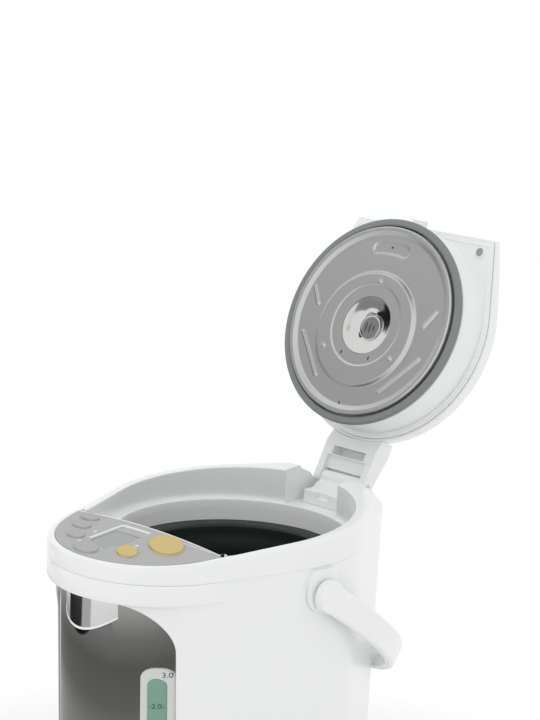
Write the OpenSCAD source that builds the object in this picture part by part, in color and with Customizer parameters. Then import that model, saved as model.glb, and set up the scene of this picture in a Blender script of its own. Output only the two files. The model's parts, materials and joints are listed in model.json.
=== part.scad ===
// Electric thermo pot: a lidded hot-water dispenser with a swivel base, a bail handle, a key panel and a pumped spout.
// Frame: millimetres, origin at the centre of the resting face, +Z up, -Y towards the spout, +Y towards the lid hinge.
// The rest pose has the lid open and the handle laid back.

/* [Body] */
// Widest size of the body, side to side
body_w = 210; // [206:1:214]
// How far each wall leans in from the collar to the base
taper = 5; // [3:0.5:6]
// Thickness of the moulded walls
wall = 3; // [2.5:0.25:3.5]
// Height of the rim above the mouth of the pot, at its middle
rim_h = 38.2; // [37:0.1:40]
// Rise of the rim per millimetre towards the hinge
rim_slope = 0.076; // [0.06:0.002:0.09]
// Depth of the sloped ring that carries the control panel
collar_h = 22.3; // [21:0.1:24]

/* [Pot] */
// Inner radius of the pot's mouth
mouth_r = 76.9; // [75:0.1:77.5]
// Depth of the water space, mouth to floor
pot_depth = 195; // [185:1:198]
// Height of the pot's floor above the table
floor_h = 51.7; // [50:0.1:56]
// Thickness of the pot's steel
pot_t = 1; // [0.8:0.1:1.2]

/* [Lid] */
// Outer radius of the seal
seal_r = 87; // [85:0.5:88]
// Angle of the open lid from shut
lid_open = 114.55; // [95:0.05:118]
// Height of the lid's outer side wall
lid_side = 10; // [8:0.5:12]
// Half width of the hinge arm
arm_half = 26.7; // [24:0.1:27]
// Radius of the hinge pins
pin_r = 2; // [1.5:0.1:2.5]

/* [Handle] */
// Width of the strap
strap_w = 22; // [18:1:24]
// Thickness of the strap
strap_t = 8; // [6:0.5:8]
// Gap between the laid-back grip and the rear of the body
grip_gap = 11.2; // [10.5:0.1:14]
// Angle of the laid-back strap below level
bail_drop = 34; // [32:0.5:36]
// Radius of the handle's pivot pins
pivot_r = 4; // [3:0.5:5]

/* [Controls] */
// Half length and half width of the round-ended keys
key_a = 12; // [10:0.5:12.5]
// Half width of those keys
key_b = 5.2; // [4:0.1:5.4]
// Travel of every key
key_travel = 1; // [0.6:0.1:1.2]
// Height of the display window above its module
lcd_gap = 0.3; // [0.2:0.1:1]

/* [Base] */
// Radius of the swivel base
base_r = 96; // [90:1:98]
// Height of the feet under the swivel base
foot_h = 2; // [1.5:0.5:3]
// Number of feet
foot_n = 6; // [4:1:8]

/* [Fits] */
// Radial play of pins and posts that turn
run_gap = 0.05; // [0.02:0.01:0.1]
// Play between separate bodies that pass or meet
body_gap = 0.3; // [0.25:0.05:0.4]
// Play between fixed mouldings of one body
seat_gap = 0.1; // [0.05:0.05:0.2]

/* [Hidden] */
$fn = 96;
hull_fn = 72;
small_fn = 32;
skin = 0.2;
trim = 0.01;
hood_step = 0.4;
over = 1;

// Plan outline: one round body, a nose over the spout and two rear corners
main_y = -2.5;
main_r = body_w / 2;
nose_y = -81;
nose_r = main_r - 22.3;
front_y = -74;
front_r = main_r - 23.1;
front_at = front_y - front_r;
nose_shift = nose_y - nose_r + 163.7;
mirror_r = front_r - hood_step - wall;
rear_x = 32;
rear_y = 114;
rear_r = 18;
rear_face = rear_y + rear_r;

// Heights of the pot and the body
pot_floor = floor_h;
mouth_z = floor_h + pot_depth;
rim_z = mouth_z + rim_h;
base_drop = 7.3;
hood_h = 16.6;
base_z = foot_h + base_drop;
cover_t = 3;
body_z = base_z + cover_t;
seam_z = rim_z - collar_h;
hood_z = seam_z - hood_h;
body_h = seam_z - body_z;

// Rim and panel surfaces
rim_tilt = atan(rim_slope);
rim_band = 8.4;
edge_round = 2.6;
chord_y = -92;
web_t = 1.2;
panel_peak = rim_z - 0.9;
panel_tilt = 6.85;
crown_r = 713;
crown_fn = 720;
panel_t = 2;
panel_inset = 5.6;

// Pot and its seat
pot_r = mouth_r - 1.9;
funnel_r = 90.5;
flange_r = funnel_r + 1.5;
ledge_z = seam_z + 1.4;

// Lid, drawn shut and then turned open about the hinge
hinge_y = rear_y + 14.5;
hinge_z = rim_z - 3.2;
seal_z = mouth_z + 2.8;
lid_band = rim_band + 1.3;
lid_chord = chord_y + web_t + 0.7;
lid_z = hinge_z;
lid_rise = 11;
hook_z = ledge_z + 6;
lid_ball = 400;
knuckle_r = 6;
cheek_t = 6.4;

// Handle
pivot_y = -11;
pivot_z = seam_z - 21.6;
bail_in = main_r + 3.6;
bail_out = bail_in + strap_t;
bail_len = (rear_face - pivot_y + grip_gap) / cos(bail_drop) + strap_t;
bail_arc = bail_len - 30;

// Front window and spout
window_half = 63.5;
window_r = 35;
window_low = 44;
window_top = hood_z - 2.6;
mirror_t = 2.2;
spout_z = hood_z - 26;
spout_half = 40;
nozzle_y = front_at + 2.4;
nozzle_r = 3.8;
pipe_y = front_at + 35.9;
pipe_z = hood_z - 11;
pipe_r = 5;

// Level gauge
gauge_x = window_half - 10;
tube_x = gauge_x - 1.5;
gauge_low = 80;
gauge_top = hood_z - 49;
tube_r = 4;
tube_y = front_at + 40.4;

// Pump and electrics under the pot
pump_y = -50;
pump_r = 26;
pump_z = body_z + 2;
rotor_r = 16;

function lean(z) = taper * (seam_z - z) / body_h;
function rim_at(y) = rim_z + rim_slope * y;
function panel_at(x, y) =
    panel_peak + tan(panel_tilt) * (y - chord_y) - crown_r + sqrt(crown_r * crown_r - x * x);
function oval(a, b, n = 40) = [for (i = [0:n - 1]) [a * cos(i * 360 / n), b * sin(i * 360 / n)]];

// ---- shared shapes ----

// The four thin discs whose hull is the body's outline at one height
module outline_discs(z, inset, nose = true, cut = 0) {
    translate([0, main_y, z])
        cylinder(r = main_r - inset, h = skin, $fn = hull_fn);
    translate([0, nose ? nose_y : front_y, z])
        cylinder(r = (nose ? nose_r : front_r) - inset, h = skin, $fn = hull_fn);
    for (side = [-1, 1])
        translate([side * rear_x, rear_y - cut, z])
            cylinder(r = rear_r - inset, h = skin, $fn = small_fn);
}

// A solid of the lower body, leaning in towards the base
module body_loft(z0, z1, inset) {
    hull() {
        outline_discs(z0, inset + hood_step + lean(z0), false);
        outline_discs(z1 - skin, inset + hood_step + lean(z1), false);
    }
}

// A straight solid of the head outline
module head_loft(z0, z1, inset) {
    hull() {
        outline_discs(z0, inset);
        outline_discs(z1 - skin, inset);
    }
}

// Tilts its children with the rim
module on_rim(drop = 0)
    multmatrix([[1, 0, 0, 0], [0, 1, 0, 0], [0, rim_slope, 1, rim_z - drop], [0, 0, 0, 1]])
        children();

// Flat outline of the lid's recess, behind the panel
module recess_plan(inset) {
    intersection() {
        hull() {
            translate([0, main_y])
                circle(r = main_r - inset);
            translate([0, nose_y])
                circle(r = nose_r - inset);
        }
        translate([-main_r, chord_y + web_t + inset - rim_band])
            square([body_w, body_w]);
    }
}

// Flat outline of the nose in front of the chord
module panel_plan(inset, back = 0) {
    intersection() {
        hull() {
            translate([0, main_y])
                circle(r = main_r - inset);
            translate([0, nose_y])
                circle(r = nose_r - inset);
        }
        translate([-main_r, chord_y - back - body_w])
            square([body_w, body_w]);
    }
}

// Everything under the panel's crowned top, lowered by drop
module under_crown(drop)
    translate([0, chord_y, panel_peak - drop])
        rotate([panel_tilt, 0, 0])
            translate([0, 0, -crown_r])
                rotate([90, 0, 0])
                    cylinder(r = crown_r, h = 2 * body_w, center = true, $fn = crown_fn);

// Puts its children on the crowned panel with +Z along the surface normal
module on_panel(x, y)
    translate([x, y + nose_shift, panel_at(x, y + nose_shift)])
        rotate([panel_tilt, asin(x / crown_r), 0])
            children();

// Turns the shut lid open about its hinge
module open_lid()
    translate([0, hinge_y, hinge_z])
        rotate([-lid_open, 0, 0])
            translate([0, -hinge_y, -hinge_z])
                children();

// A round ring
module ring(ri, ro, z0, z1)
    rotate_extrude()
        translate([ri, z0])
            square([ro - ri, z1 - z0]);

// ---- swivel base ----

post_r = 10;
track_r = 72;
track_z = base_z - body_gap;
plate_t = 5;
post_top = body_z + 3;
foot_r = 7;
screw_r = 1.6;

module swivel_base() {
    color("gainsboro")
    difference() {
        union() {
            translate([0, 0, foot_h])
                cylinder(r = base_r, h = plate_t);
            ring(track_r - 3, track_r + 3, foot_h + plate_t - over, track_z);
            translate([0, 0, foot_h + plate_t - over])
                cylinder(r = post_r, h = post_top - foot_h - plate_t + over);
        }
        translate([0, 0, foot_h + 1])
            cylinder(r = screw_r, h = post_top);
    }
}

module base_feet() {
    color("dimgray")
    for (i = [0:foot_n - 1])
        rotate([0, 0, (i + 0.5) * 360 / foot_n])
            translate([base_r - foot_r - 6, 0, 0])
                cylinder(r = foot_r, h = foot_h, $fn = small_fn);
    // middle pad under the post
    color("dimgray")
        cylinder(r = foot_r, h = foot_h, $fn = small_fn);
}

// Washer and screw that hold the pot down on the post
module swivel_retainer() {
    color("silver") {
        translate([0, 0, post_top])
            cylinder(r = post_r + 6, h = 1.5);
        translate([0, 0, post_top - 8])
            cylinder(r = screw_r - 0.02, h = 8 + over);
        translate([0, 0, post_top + 1])
            cylinder(r = 4, h = 3);
    }
}

// ---- body shells ----

screw_y = 47;
screw_front = main_r - 22;
screw_rear = main_r - 27;
cover_screws = [
    [-screw_front, -screw_y], [screw_front, -screw_y], [-screw_rear, screw_y], [screw_rear, screw_y]
];
boss_r = 5.5;
inlet_x = 0;
inlet_z = 58;
inlet_w = 46;
inlet_h = 26;

module body_shell() {
    color("whitesmoke")
    difference() {
        union() {
            difference() {
                body_loft(body_z, seam_z, 0);
                body_loft(body_z - over, seam_z + over, wall);
            }
            // bosses for the base cover's screws
            for (at = cover_screws)
                translate([at[0], at[1], body_z])
                    cylinder(r = boss_r, h = 20);
        }
        for (at = cover_screws)
            translate([at[0], at[1], body_z - over])
                cylinder(r = 1.82, h = 16);
        // the mirror's window in the front
        rotate([90, 0, 0])
            linear_extrude(2 * body_w)
                hull()
                    for (side = [-1, 1], z = [window_low + window_r, window_top - window_r])
                        translate([side * (window_half - window_r), z])
                            circle(r = window_r, $fn = hull_fn);
        // the power inlet's opening in the rear
        translate([inlet_x - inlet_w / 2, rear_face - 12, inlet_z - inlet_h / 2])
            cube([inlet_w, 20, inlet_h]);
        // bores for the handle's pivots
        translate([0, pivot_y, pivot_z])
            rotate([0, 90, 0])
                cylinder(r = pivot_r + 0.02, h = 2 * body_w, center = true);
    }
}

// Overhang over the spout, fixed to the front of the shell under the collar
module nose_hood() {
    color("whitesmoke")
    difference() {
        intersection() {
            head_loft(hood_z, seam_z, 0);
            translate([-main_r, chord_y + 4 - body_w, 0])
                cube([body_w, body_w, rim_z]);
        }
        body_loft(hood_z - over, seam_z + over, -seat_gap);
    }
}

module base_cover() {
    color("lightgray")
    difference() {
        union() {
            hull() {
                outline_discs(base_z, lean(body_z) + 2.5, false);
                outline_discs(base_z + 1.5, lean(body_z) + 0.4, false);
                outline_discs(body_z - seat_gap - skin, lean(body_z) + 0.4, false);
            }
            // bosses for the pump and the board
            for (side = [-1, 1])
                translate([side * 30, 30, body_z - over])
                    cylinder(r = 4, h = 8 + over);
        }
        translate([0, 0, base_z - over])
            cylinder(r = post_r + run_gap, h = cover_t + 2 * over);
        for (at = cover_screws)
            translate([at[0], at[1], base_z - over])
                cylinder(r = 2, h = cover_t + 2 * over);
    }
}

// Four screws up into the shell's bosses
module base_screws() {
    color("silver")
    for (at = cover_screws)
        translate([at[0], at[1], 0]) {
            translate([0, 0, base_z - 1.7])
                cylinder(r = 1.8, h = 16);
            translate([0, 0, base_z - 1.7])
                cylinder(r = 3.4, h = 1.6);
        }
}

channel_half = arm_half + 1.1;
channel_z = ledge_z;
channel_low = hinge_z - knuckle_r - 2.7;

module collar() {
    color("white")
    difference() {
        union() {
            hull() {
                outline_discs(seam_z + 0.2, 0);
                outline_discs(seam_z + 9, 0);
                on_rim(3) outline_discs(0, 0, true, 18);
                on_rim(0) outline_discs(0, edge_round, true, 24);
            }
            // crowned border that holds the panel
            intersection() {
                translate([0, 0, seam_z + 2])
                    linear_extrude(collar_h + 10)
                        panel_plan(panel_inset - 2.4, -web_t);
                under_crown(0);
            }
            ring(funnel_r, funnel_r + 2.4, mouth_z + seat_gap, seam_z + 2);
        }
        // the lid's recess, down to the ledge
        translate([0, 0, ledge_z])
            linear_extrude(body_w)
                recess_plan(rim_band);
        // the funnel down to the pot
        translate([0, 0, mouth_z - over])
            cylinder(r = funnel_r, h = 40);
        // the hinge channel through the rear
        translate([-channel_half, 60, channel_z])
            cube([2 * channel_half, rear_face - 64, 60]);
        translate([-channel_half, 60, channel_low])
            cube([2 * channel_half, 90, 60]);
        // the panel's seat and the space for the boards
        translate([0, 0, seam_z])
            difference() {
                linear_extrude(60)
                    panel_plan(panel_inset - seat_gap);
                translate([0, 0, -seam_z])
                    under_crown(panel_t + 0.1);
            }
        translate([0, 0, seam_z - over])
            linear_extrude(60)
                panel_plan(panel_inset + 2.2, 1);
        // slot for the lid's latch hook
        translate([-8, chord_y - 4, ledge_z + 4])
            cube([16, 10, 7]);
        // groove that makes the side wall hollow
        translate([0, main_y, 0])
            difference() {
                ring(main_r - 6.4, main_r - 3, seam_z - over, seam_z + 14);
                translate([-main_r, -2 * main_r + chord_y + 12, seam_z - 2])
                    cube([body_w, body_w, 20]);
                translate([-rear_x - 20, 50, seam_z - 2])
                    cube([2 * rear_x + 40, 100, 20]);
            }
    }
}

saddle_half = arm_half - cheek_t - 0.35;

// Saddle between the arm's cheeks, which holds both hinge pins
module hinge_block() {
    color("white")
    difference() {
        union() {
            translate([0, hinge_y, hinge_z])
                rotate([0, 90, 0])
                    cylinder(r = knuckle_r - 0.4, h = 2 * saddle_half, center = true);
            translate([-saddle_half, hinge_y - 25, channel_z + 0.1])
                cube([2 * saddle_half, 24, 11]);
            translate([-saddle_half, hinge_y - 5.4, channel_z + 0.1])
                cube([2 * saddle_half, 4.6, hinge_z - channel_z]);
            // ramp up to the knuckle
            translate([-saddle_half, 0, 0])
                rotate([90, 0, 90])
                    linear_extrude(2 * saddle_half)
                        polygon([
                            [hinge_y - 16, channel_z + 10], [hinge_y - 4, hinge_z - 0.5],
                            [hinge_y + 1, hinge_z - 1], [hinge_y + 1, channel_z + 10]
                        ]);
        }
        translate([0, hinge_y, hinge_z])
            rotate([0, 90, 0])
                cylinder(r = pin_r + 0.01, h = 100, center = true);
        translate([-6, hinge_y - 26, channel_z + 6])
            cube([12, 4, 8]);
    }
}

// Two short pins, pressed into the saddle from each side
module hinge_pins() {
    color("silver")
    for (side = [-1, 1])
        translate([side * (arm_half - 8), hinge_y, hinge_z])
            rotate([0, 90, 0])
                cylinder(r = pin_r, h = 15.4, center = true);
}

// ---- front: mirror, spout and gauge ----

// Leaning skin of the front between two depths behind the shell's inner face
module front_skin(z0, z1, out, thick) {
    r0 = mirror_r - out - lean(z0);
    r1 = mirror_r - out - lean(z1);
    translate([0, front_y, z0])
        difference() {
            cylinder(r1 = r0, r2 = r1, h = z1 - z0);
            translate([0, 0, -trim])
                cylinder(r1 = r0 - thick, r2 = r1 - thick, h = z1 - z0 + 2 * trim);
        }
}

module front_mirror() {
    color("dimgray")
    difference() {
        intersection() {
            front_skin(window_low - 6, hood_z - 0.6, body_gap, mirror_t);
            translate([-window_half - 3, -body_w, 0])
                cube([2 * window_half + 6, 1.5 * body_w / 2, rim_z]);
        }
        translate([-20, -body_w, pipe_z - 13])
            cube([40, body_w / 2, 21]);
    }
}

shroud_r = 34.7;
shroud_y = front_at + 30.6;
shroud_t = 2;

// Chrome scoop under the nose that hides the nozzle
module spout_shroud() {
    color("silver")
    difference() {
        intersection() {
            translate([0, shroud_y, spout_z])
                difference() {
                    cylinder(r = shroud_r, h = hood_z - 0.2 - spout_z);
                    translate([0, 0, -over])
                        cylinder(r = shroud_r - shroud_t, h = 40);
                }
            translate([-spout_half, -body_w, 0])
                cube([2 * spout_half, body_w / 2, rim_z]);
        }
        // only what stands in front of the mirror is left
        translate([0, front_y, spout_z - 2])
            cylinder(r = mirror_r - body_gap + seat_gap, h = 40);
        // clear of the shell above the window
        translate([0, front_y, window_top - 1.6])
            cylinder(r = front_r, h = 20);
        // the lower lip rises towards both sides
        translate([0, 0, spout_z - 60])
            rotate([90, 0, 0])
                for (side = [-1, 1])
                    translate([side * 46, 0, 0])
                        cylinder(r = 70, h = 2 * body_w, $fn = 180);
    }
}

module spout_nozzle() {
    color("lightgray")
    difference() {
        union() {
            translate([0, nozzle_y, pipe_z - 11.5])
                cylinder(r = nozzle_r, h = 16);
            translate([0, nozzle_y, pipe_z])
                rotate([-90, 0, 0])
                    cylinder(r = 4.5, h = pipe_y - nozzle_y - 8);
        }
        translate([0, nozzle_y, pipe_z - 12])
            cylinder(r = nozzle_r - 1.2, h = 15);
        translate([0, nozzle_y, pipe_z])
            rotate([-90, 0, 0])
                cylinder(r = 3, h = 60);
    }
}

ball_r = pipe_r - 2;
ball_seat = 117;

// Rising pipe from the pump to the nozzle
module delivery_pipe() {
    color("lightyellow")
    difference() {
        union() {
            translate([0, pipe_y, pump_z + 8])
                cylinder(r = pipe_r, h = pipe_z - pump_z);
            translate([0, pipe_y, pipe_z])
                rotate([90, 0, 0])
                    cylinder(r = pipe_r + 1.5, h = 22);
            translate([0, pump_y - pump_r + 2, pump_z + 14])
                rotate([90, 0, 0])
                    cylinder(r = pipe_r - 1, h = pump_y - pump_r - pipe_y);
        }
        translate([0, pipe_y, pump_z + 12])
            cylinder(r = ball_r - 0.8, h = pipe_z - pump_z - 8);
        translate([0, pipe_y, ball_seat])
            cylinder(r = ball_r + 0.5, h = pipe_z - ball_seat);
        translate([0, pipe_y + 1, pipe_z])
            rotate([90, 0, 0])
                cylinder(r = 4.5 + 0.02, h = 40);
        translate([0, pump_y - pump_r + 3, pump_z + 14])
            rotate([90, 0, 0])
                cylinder(r = 2.5, h = pump_y - pump_r - pipe_y);
    }
}

// Check ball in the delivery pipe that stops a spill when the pot tips
module outlet_check_ball() {
    color("silver")
    translate([0, pipe_y, ball_seat + sqrt(pow(ball_r, 2) - pow(ball_r - 0.8, 2)) + 0.15])
        sphere(r = ball_r, $fn = small_fn);
}

gauge_w = 9.4;
gauge_t = 2;

module gauge_skin(z0, z1, out, thick, half_w) {
    intersection() {
        front_skin(z0, z1, out, thick);
        translate([gauge_x - half_w, -body_w, 0])
            cube([2 * half_w, body_w / 1.5, rim_z]);
    }
}

module gauge_frame() {
    color("lightgray")
    difference() {
        gauge_skin(gauge_low, gauge_top, body_gap - gauge_t - 0.05, gauge_t, gauge_w);
        translate([gauge_x - 5.5, -body_w, gauge_low + 8])
            cube([11, body_w, gauge_top - gauge_low - 16]);
    }
}

module gauge_window() {
    color("darkseagreen")
        gauge_skin(gauge_low + 8.3, gauge_top - 8.3, body_gap - gauge_t + 0.5, gauge_t - 0.6, 5.2);
}

module gauge_tube() {
    color("azure")
    translate([tube_x, tube_y, gauge_low])
        difference() {
            cylinder(r = tube_r, h = gauge_top - gauge_low + 10);
            translate([0, 0, -over])
                cylinder(r = tube_r - 1, h = gauge_top);
        }
}

// Silicone caps that carry the gauge tube at both ends
module gauge_elbows() {
    color("lightyellow")
    translate([tube_x, tube_y, 0]) {
        for (z = [gauge_low - 6, gauge_top + 4])
            translate([0, 0, z])
                difference() {
                    cylinder(r = tube_r + 1.2, h = 12);
                    translate([0, 0, z < pivot_z / 2 ? 6 : -over])
                        cylinder(r = tube_r + 0.02, h = 7);
                }
        translate([0, 0, body_z + 12])
            cylinder(r = tube_r, h = gauge_low - 6 - body_z - 12 + trim);
        translate([0, 0, body_z + 12])
            rotate([0, -90, 0])
                cylinder(r = tube_r, h = tube_x - pipe_r - seat_gap);
    }
}

// ---- sides and rear ----

module power_inlet() {
    color("darkgray")
    difference() {
        translate([inlet_x - inlet_w / 2 + 0.2, rear_face - 22, inlet_z - inlet_h / 2 + 0.2])
            cube([inlet_w - 0.4, 17.6, inlet_h - 0.4]);
        translate([inlet_x - inlet_w / 2 + 3, rear_face - 14, inlet_z - inlet_h / 2 + 3])
            cube([inlet_w - 6, 30, inlet_h - 6]);
        for (side = [-1, 1])
            translate([side * 9, rear_face - 18.1, inlet_z])
                rotate([-90, 0, 0])
                    cylinder(r = 2.42, h = 12);
    }
}

module inlet_pins() {
    color("gold")
    for (side = [-1, 1])
        translate([side * 9, rear_face - 18, inlet_z])
            rotate([-90, 0, 0])
                cylinder(r = 2.4, h = 11, $fn = small_fn);
}

boss_low = pivot_z - 13;
boss_high = pivot_z + 24;

// Raised plates on both sides round the handle's pivots
module side_bosses() {
    color("white")
    for (side = [-1, 1])
        difference() {
            intersection() {
                translate([0, pivot_y, 0])
                    rotate([90, 0, 90])
                        translate([0, 0, side > 0 ? main_r - 4 : -main_r - 3.2])
                            linear_extrude(7.2)
                                hull()
                                    for (z = [boss_low + 14, boss_high - 12])
                                        translate([0, z])
                                            circle(r = 14, $fn = small_fn);
                translate([0, main_y, 0])
                    difference() {
                        cylinder(r = main_r + 3, h = rim_z);
                        cylinder(r = main_r - 0.2, h = rim_z);
                    }
                translate([-2 * body_w, -body_w, 0])
                    cube([4 * body_w, 2 * body_w, seam_z - 1]);
            }
            translate([0, pivot_y, pivot_z])
                rotate([0, 90, 0])
                    cylinder(r = pivot_r + 0.02, h = 2 * body_w, center = true);
        }
}

module handle_pivots() {
    color("silver")
    for (side = [-1, 1])
        translate([side * (main_r - 7), pivot_y, pivot_z])
            rotate([0, side * 90, 0]) {
                cylinder(r = pivot_r, h = bail_out - main_r + 7 - 2.5);
                cylinder(r = pivot_r + 3, h = 1.4);
            }
}

// ---- control panel ----

key_list = [[-55.4, -99.4, 8], [-47.6, -115, 8], [-35.4, -132.1, 6], [-8.4, -146.9, 10]];
reheat_a = 12.6;
reheat_b = 7.4;
unlock_xy = [22.1, -133.8];
unlock_a = 10.6;
unlock_b = 7.2;
dispense_xy = [36.1, -107.6];
dispense_a = 17.4;
dispense_b = 12;
key_turn = -14;
gold_turn = -28;
lcd_plan = [[-17.2, -134.5], [-15.9, -109.6], [9.9, -109.1], [11.4, -130], [4.2, -133.4], [5.8, -141]];
led_list = [[-27.5, -119.5], [-23.6, -139], [19, -121.5]];
key_play = 0.35;

// Upright prism of one key, from a depth below the panel to a height above it
module key_prism(xy, a, b, turn, low, high)
    on_panel(xy[0], xy[1])
        translate([0, 0, -low])
            linear_extrude(low + high)
                rotate(turn)
                    polygon(oval(a, b));

module panel_plate() {
    color("darkgray")
    difference() {
        intersection() {
            translate([0, 0, seam_z])
                linear_extrude(40)
                    panel_plan(panel_inset);
            difference() {
                under_crown(0);
                under_crown(panel_t);
            }
        }
        for (i = [0:2])
            key_prism(key_list[i], key_a - i * 0.8 - 0.8 + key_play, key_b + key_play, key_turn, 20, 20);
        key_prism(key_list[3], reheat_a + key_play, reheat_b + key_play, key_turn, 20, 20);
        key_prism(unlock_xy, unlock_a + key_play, unlock_b + key_play, gold_turn, 20, 20);
        key_prism(dispense_xy, dispense_a + key_play, dispense_b + key_play, gold_turn, 20, 20);
        translate([0, nose_shift, seam_z])
            linear_extrude(60)
                polygon(lcd_plan);
        for (xy = led_list)
            translate([xy[0], xy[1] + nose_shift, seam_z])
                cylinder(r = 1.5, h = 60, $fn = small_fn);
    }
}

module lcd_window() {
    color("lightslategray")
    intersection() {
        translate([0, nose_shift, seam_z])
            linear_extrude(60)
                offset(delta = -0.1)
                    polygon(lcd_plan);
        difference() {
            under_crown(0.3);
            under_crown(1.8);
        }
    }
}

module lcd_module() {
    color("slategray")
    on_panel(-3, -121)
        translate([-12, -11, 1.9 - pcb_drop])
            cube([24, 22, pcb_drop - 1.9 - 2 - lcd_gap]);
}

module led_lenses() {
    color("white")
    for (xy = led_list)
        on_panel(xy[0], xy[1])
                translate([0, 0, -3.2])
                    cylinder(r = 1.3, h = 3.4, $fn = small_fn);
}

pcb_drop = 11.5;

// Board under the keys, tilted with the panel
module control_pcb() {
    color("darkgreen")
    intersection() {
        translate([0, 0, seam_z - 10])
            linear_extrude(40)
                panel_plan(panel_inset + 2.5, 1.3);
        on_panel(0, -125)
            translate([-body_w / 2, -60, -pcb_drop])
                cube([body_w, 120, 1.6]);
    }
}

// Rubber sheet with a dome under every key
module key_mat() {
    color("gainsboro")
    difference() {
        intersection() {
            translate([0, 0, seam_z - 10])
                linear_extrude(40)
                    panel_plan(panel_inset + 3.2, 2);
            on_panel(0, -125)
                translate([-body_w / 2, -60, 1.6 + seat_gap - pcb_drop])
                    cube([body_w, 120, 0.8]);
        }
        on_panel(-3, -121)
            translate([-14, -13, -20])
                cube([28, 26, 40]);
    }
}

// One sprung key with its cap above the panel and its foot just over the mat
module key(xy, a, b, turn, proud = 1.2) {
    key_prism(xy, a, b, turn, 3, proud);
    on_panel(xy[0], xy[1])
        translate([0, 0, -4.4])
            cylinder(r = 2.5, h = 2, $fn = small_fn);
}

module timer_key()
    color("darkgray") key(key_list[0], key_a - 0.8, key_b, key_turn);

module temperature_key()
    color("darkgray") key(key_list[1], key_a - 1.6, key_b, key_turn);

module descale_key()
    color("darkgray") key(key_list[2], key_a - 2.4, key_b, key_turn);

module reheat_key()
    color("darkgray") key(key_list[3], reheat_a, reheat_b, key_turn);

module unlock_key()
    color("burlywood") key(unlock_xy, unlock_a, unlock_b, gold_turn);

module dispense_key()
    color("burlywood") key(dispense_xy, dispense_a, dispense_b, gold_turn, 1.6);

// ---- pot, heaters and electrics ----

// Steel pot with a rolled shoulder and a dished floor
module inner_pot() {
    color("silver")
    difference() {
        rotate_extrude()
            polygon([
                [0, pot_floor - pot_t], [pot_r - 18, pot_floor - pot_t],
                [pot_r - 6, pot_floor + 4], [pot_r + pot_t, pot_floor + 16],
                [pot_r + pot_t, mouth_z - 20], [mouth_r + pot_t, mouth_z - 8],
                [mouth_r + pot_t, mouth_z - pot_t], [flange_r, mouth_z - pot_t],
                [flange_r, mouth_z], [mouth_r, mouth_z],
                [mouth_r, mouth_z - 8.4], [pot_r, mouth_z - 20.4],
                [pot_r, pot_floor + 16.4], [pot_r - 7, pot_floor + 5],
                [pot_r - 18.4, pot_floor], [0, pot_floor]
            ]);
        // outlet to the pump
        translate([0, pump_y, pot_floor - 4])
            cylinder(r = 6, h = 8);
    }
}

// Ring that seals the flange to the collar's funnel
module pot_gasket()
    color("dimgray")
        ring(flange_r - 3, flange_r + 3, mouth_z - pot_t - 3, mouth_z - pot_t - seat_gap);

module heat_shield()
    color("silver")
        ring(pot_r + 9, pot_r + 9.6, pot_floor + 4, mouth_z - pot_t - seat_gap);

module main_heater()
    color("dimgray")
        ring(pot_r + pot_t + 0.1, pot_r + pot_t + 2.4, pot_floor + 18, pot_floor + 42);

module warm_heater()
    color("peru")
        ring(pot_r + pot_t + 0.1, pot_r + pot_t + 1.6, pot_floor + 48, pot_floor + 64);

module thermostat() {
    color("silver")
    translate([30, 10, pot_floor - pot_t - 8.1])
        cylinder(r = 7, h = 8);
}

module thermal_fuse() {
    color("silver")
    translate([-30, 4, pot_floor - pot_t - 3.4])
        rotate([-90, 0, 0])
            cylinder(r = 3.2, h = 16, $fn = small_fn);
}

pump_t = 2;

// Pump housing with its rotor chamber open at the top to the inlet
module pump_housing() {
    color("gainsboro")
    difference() {
        translate([0, pump_y, pump_z + 7.4])
            cylinder(r = pump_r, h = 13);
        translate([0, pump_y, pump_z + 9.4])
            cylinder(r = rotor_r + 2, h = 9);
        translate([0, pump_y, pump_z + 9])
            cylinder(r = 5, h = 20);
        translate([0, pump_y - rotor_r, pump_z + 14])
            rotate([90, 0, 0])
                cylinder(r = pipe_r - 0.98, h = pump_r);
    }
}

module pump_motor() {
    color("dimgray")
    difference() {
        translate([0, pump_y, body_z + 0.1])
            cylinder(r = 17, h = pump_z - body_z + 7.2);
        translate([0, pump_y, body_z + 3])
            cylinder(r = 13, h = 20);
    }
}

// Elbow that brings water from the pot's floor to the pump
module pump_inlet() {
    color("lightyellow")
    translate([0, pump_y, pump_z + 20.5])
        difference() {
            cylinder(r = 5.9, h = pot_floor - pump_z - 18);
            translate([0, 0, -over])
                cylinder(r = 4, h = 60);
        }
}

// Impeller, carried on a stub inside the chamber
module pump_rotor() {
    color("white")
    translate([0, pump_y, pump_z + 10]) {
        cylinder(r = 12, h = 1.6);
        cylinder(r = 4, h = 6);
        for (i = [0:5])
            rotate([0, 0, i * 60])
                translate([3, -0.7, 0])
                    cube([rotor_r - 3.5, 1.4, 6]);
    }
}

// Magnet disc on the motor's shaft
module drive_magnet() {
    color("dimgray")
    translate([0, pump_y, body_z + 3.3])
        difference() {
            cylinder(r = 12, h = 4.6);
            translate([0, 0, 3])
                cylinder(r = 3, h = 4);
        }
}

board_w = 80;
board_l = 50;
board_y = 20;
board_t = 1.6;

module power_pcb() {
    color("darkgreen")
    difference() {
        translate([-board_w / 2, board_y, body_z + 8])
            cube([board_w, board_l, board_t]);
        for (side = [-1, 1])
            translate([side * 30, 30, body_z])
                cylinder(r = 1.5, h = 20);
    }
}

// ---- handle ----

// Half of an ellipse, then two straight arms back to the pivots
module bail_plan(inset) {
    straight = bail_len - bail_arc;
    translate([0, straight])
        intersection() {
            polygon(oval(bail_out - inset, bail_arc - inset, 96));
            translate([-body_w, 0])
                square([2 * body_w, body_w]);
        }
    translate([-bail_out + inset, inset > 0 ? -40 : 0])
        square([2 * (bail_out - inset), straight + (inset > 0 ? 40 : 0) + trim]);
}

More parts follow.
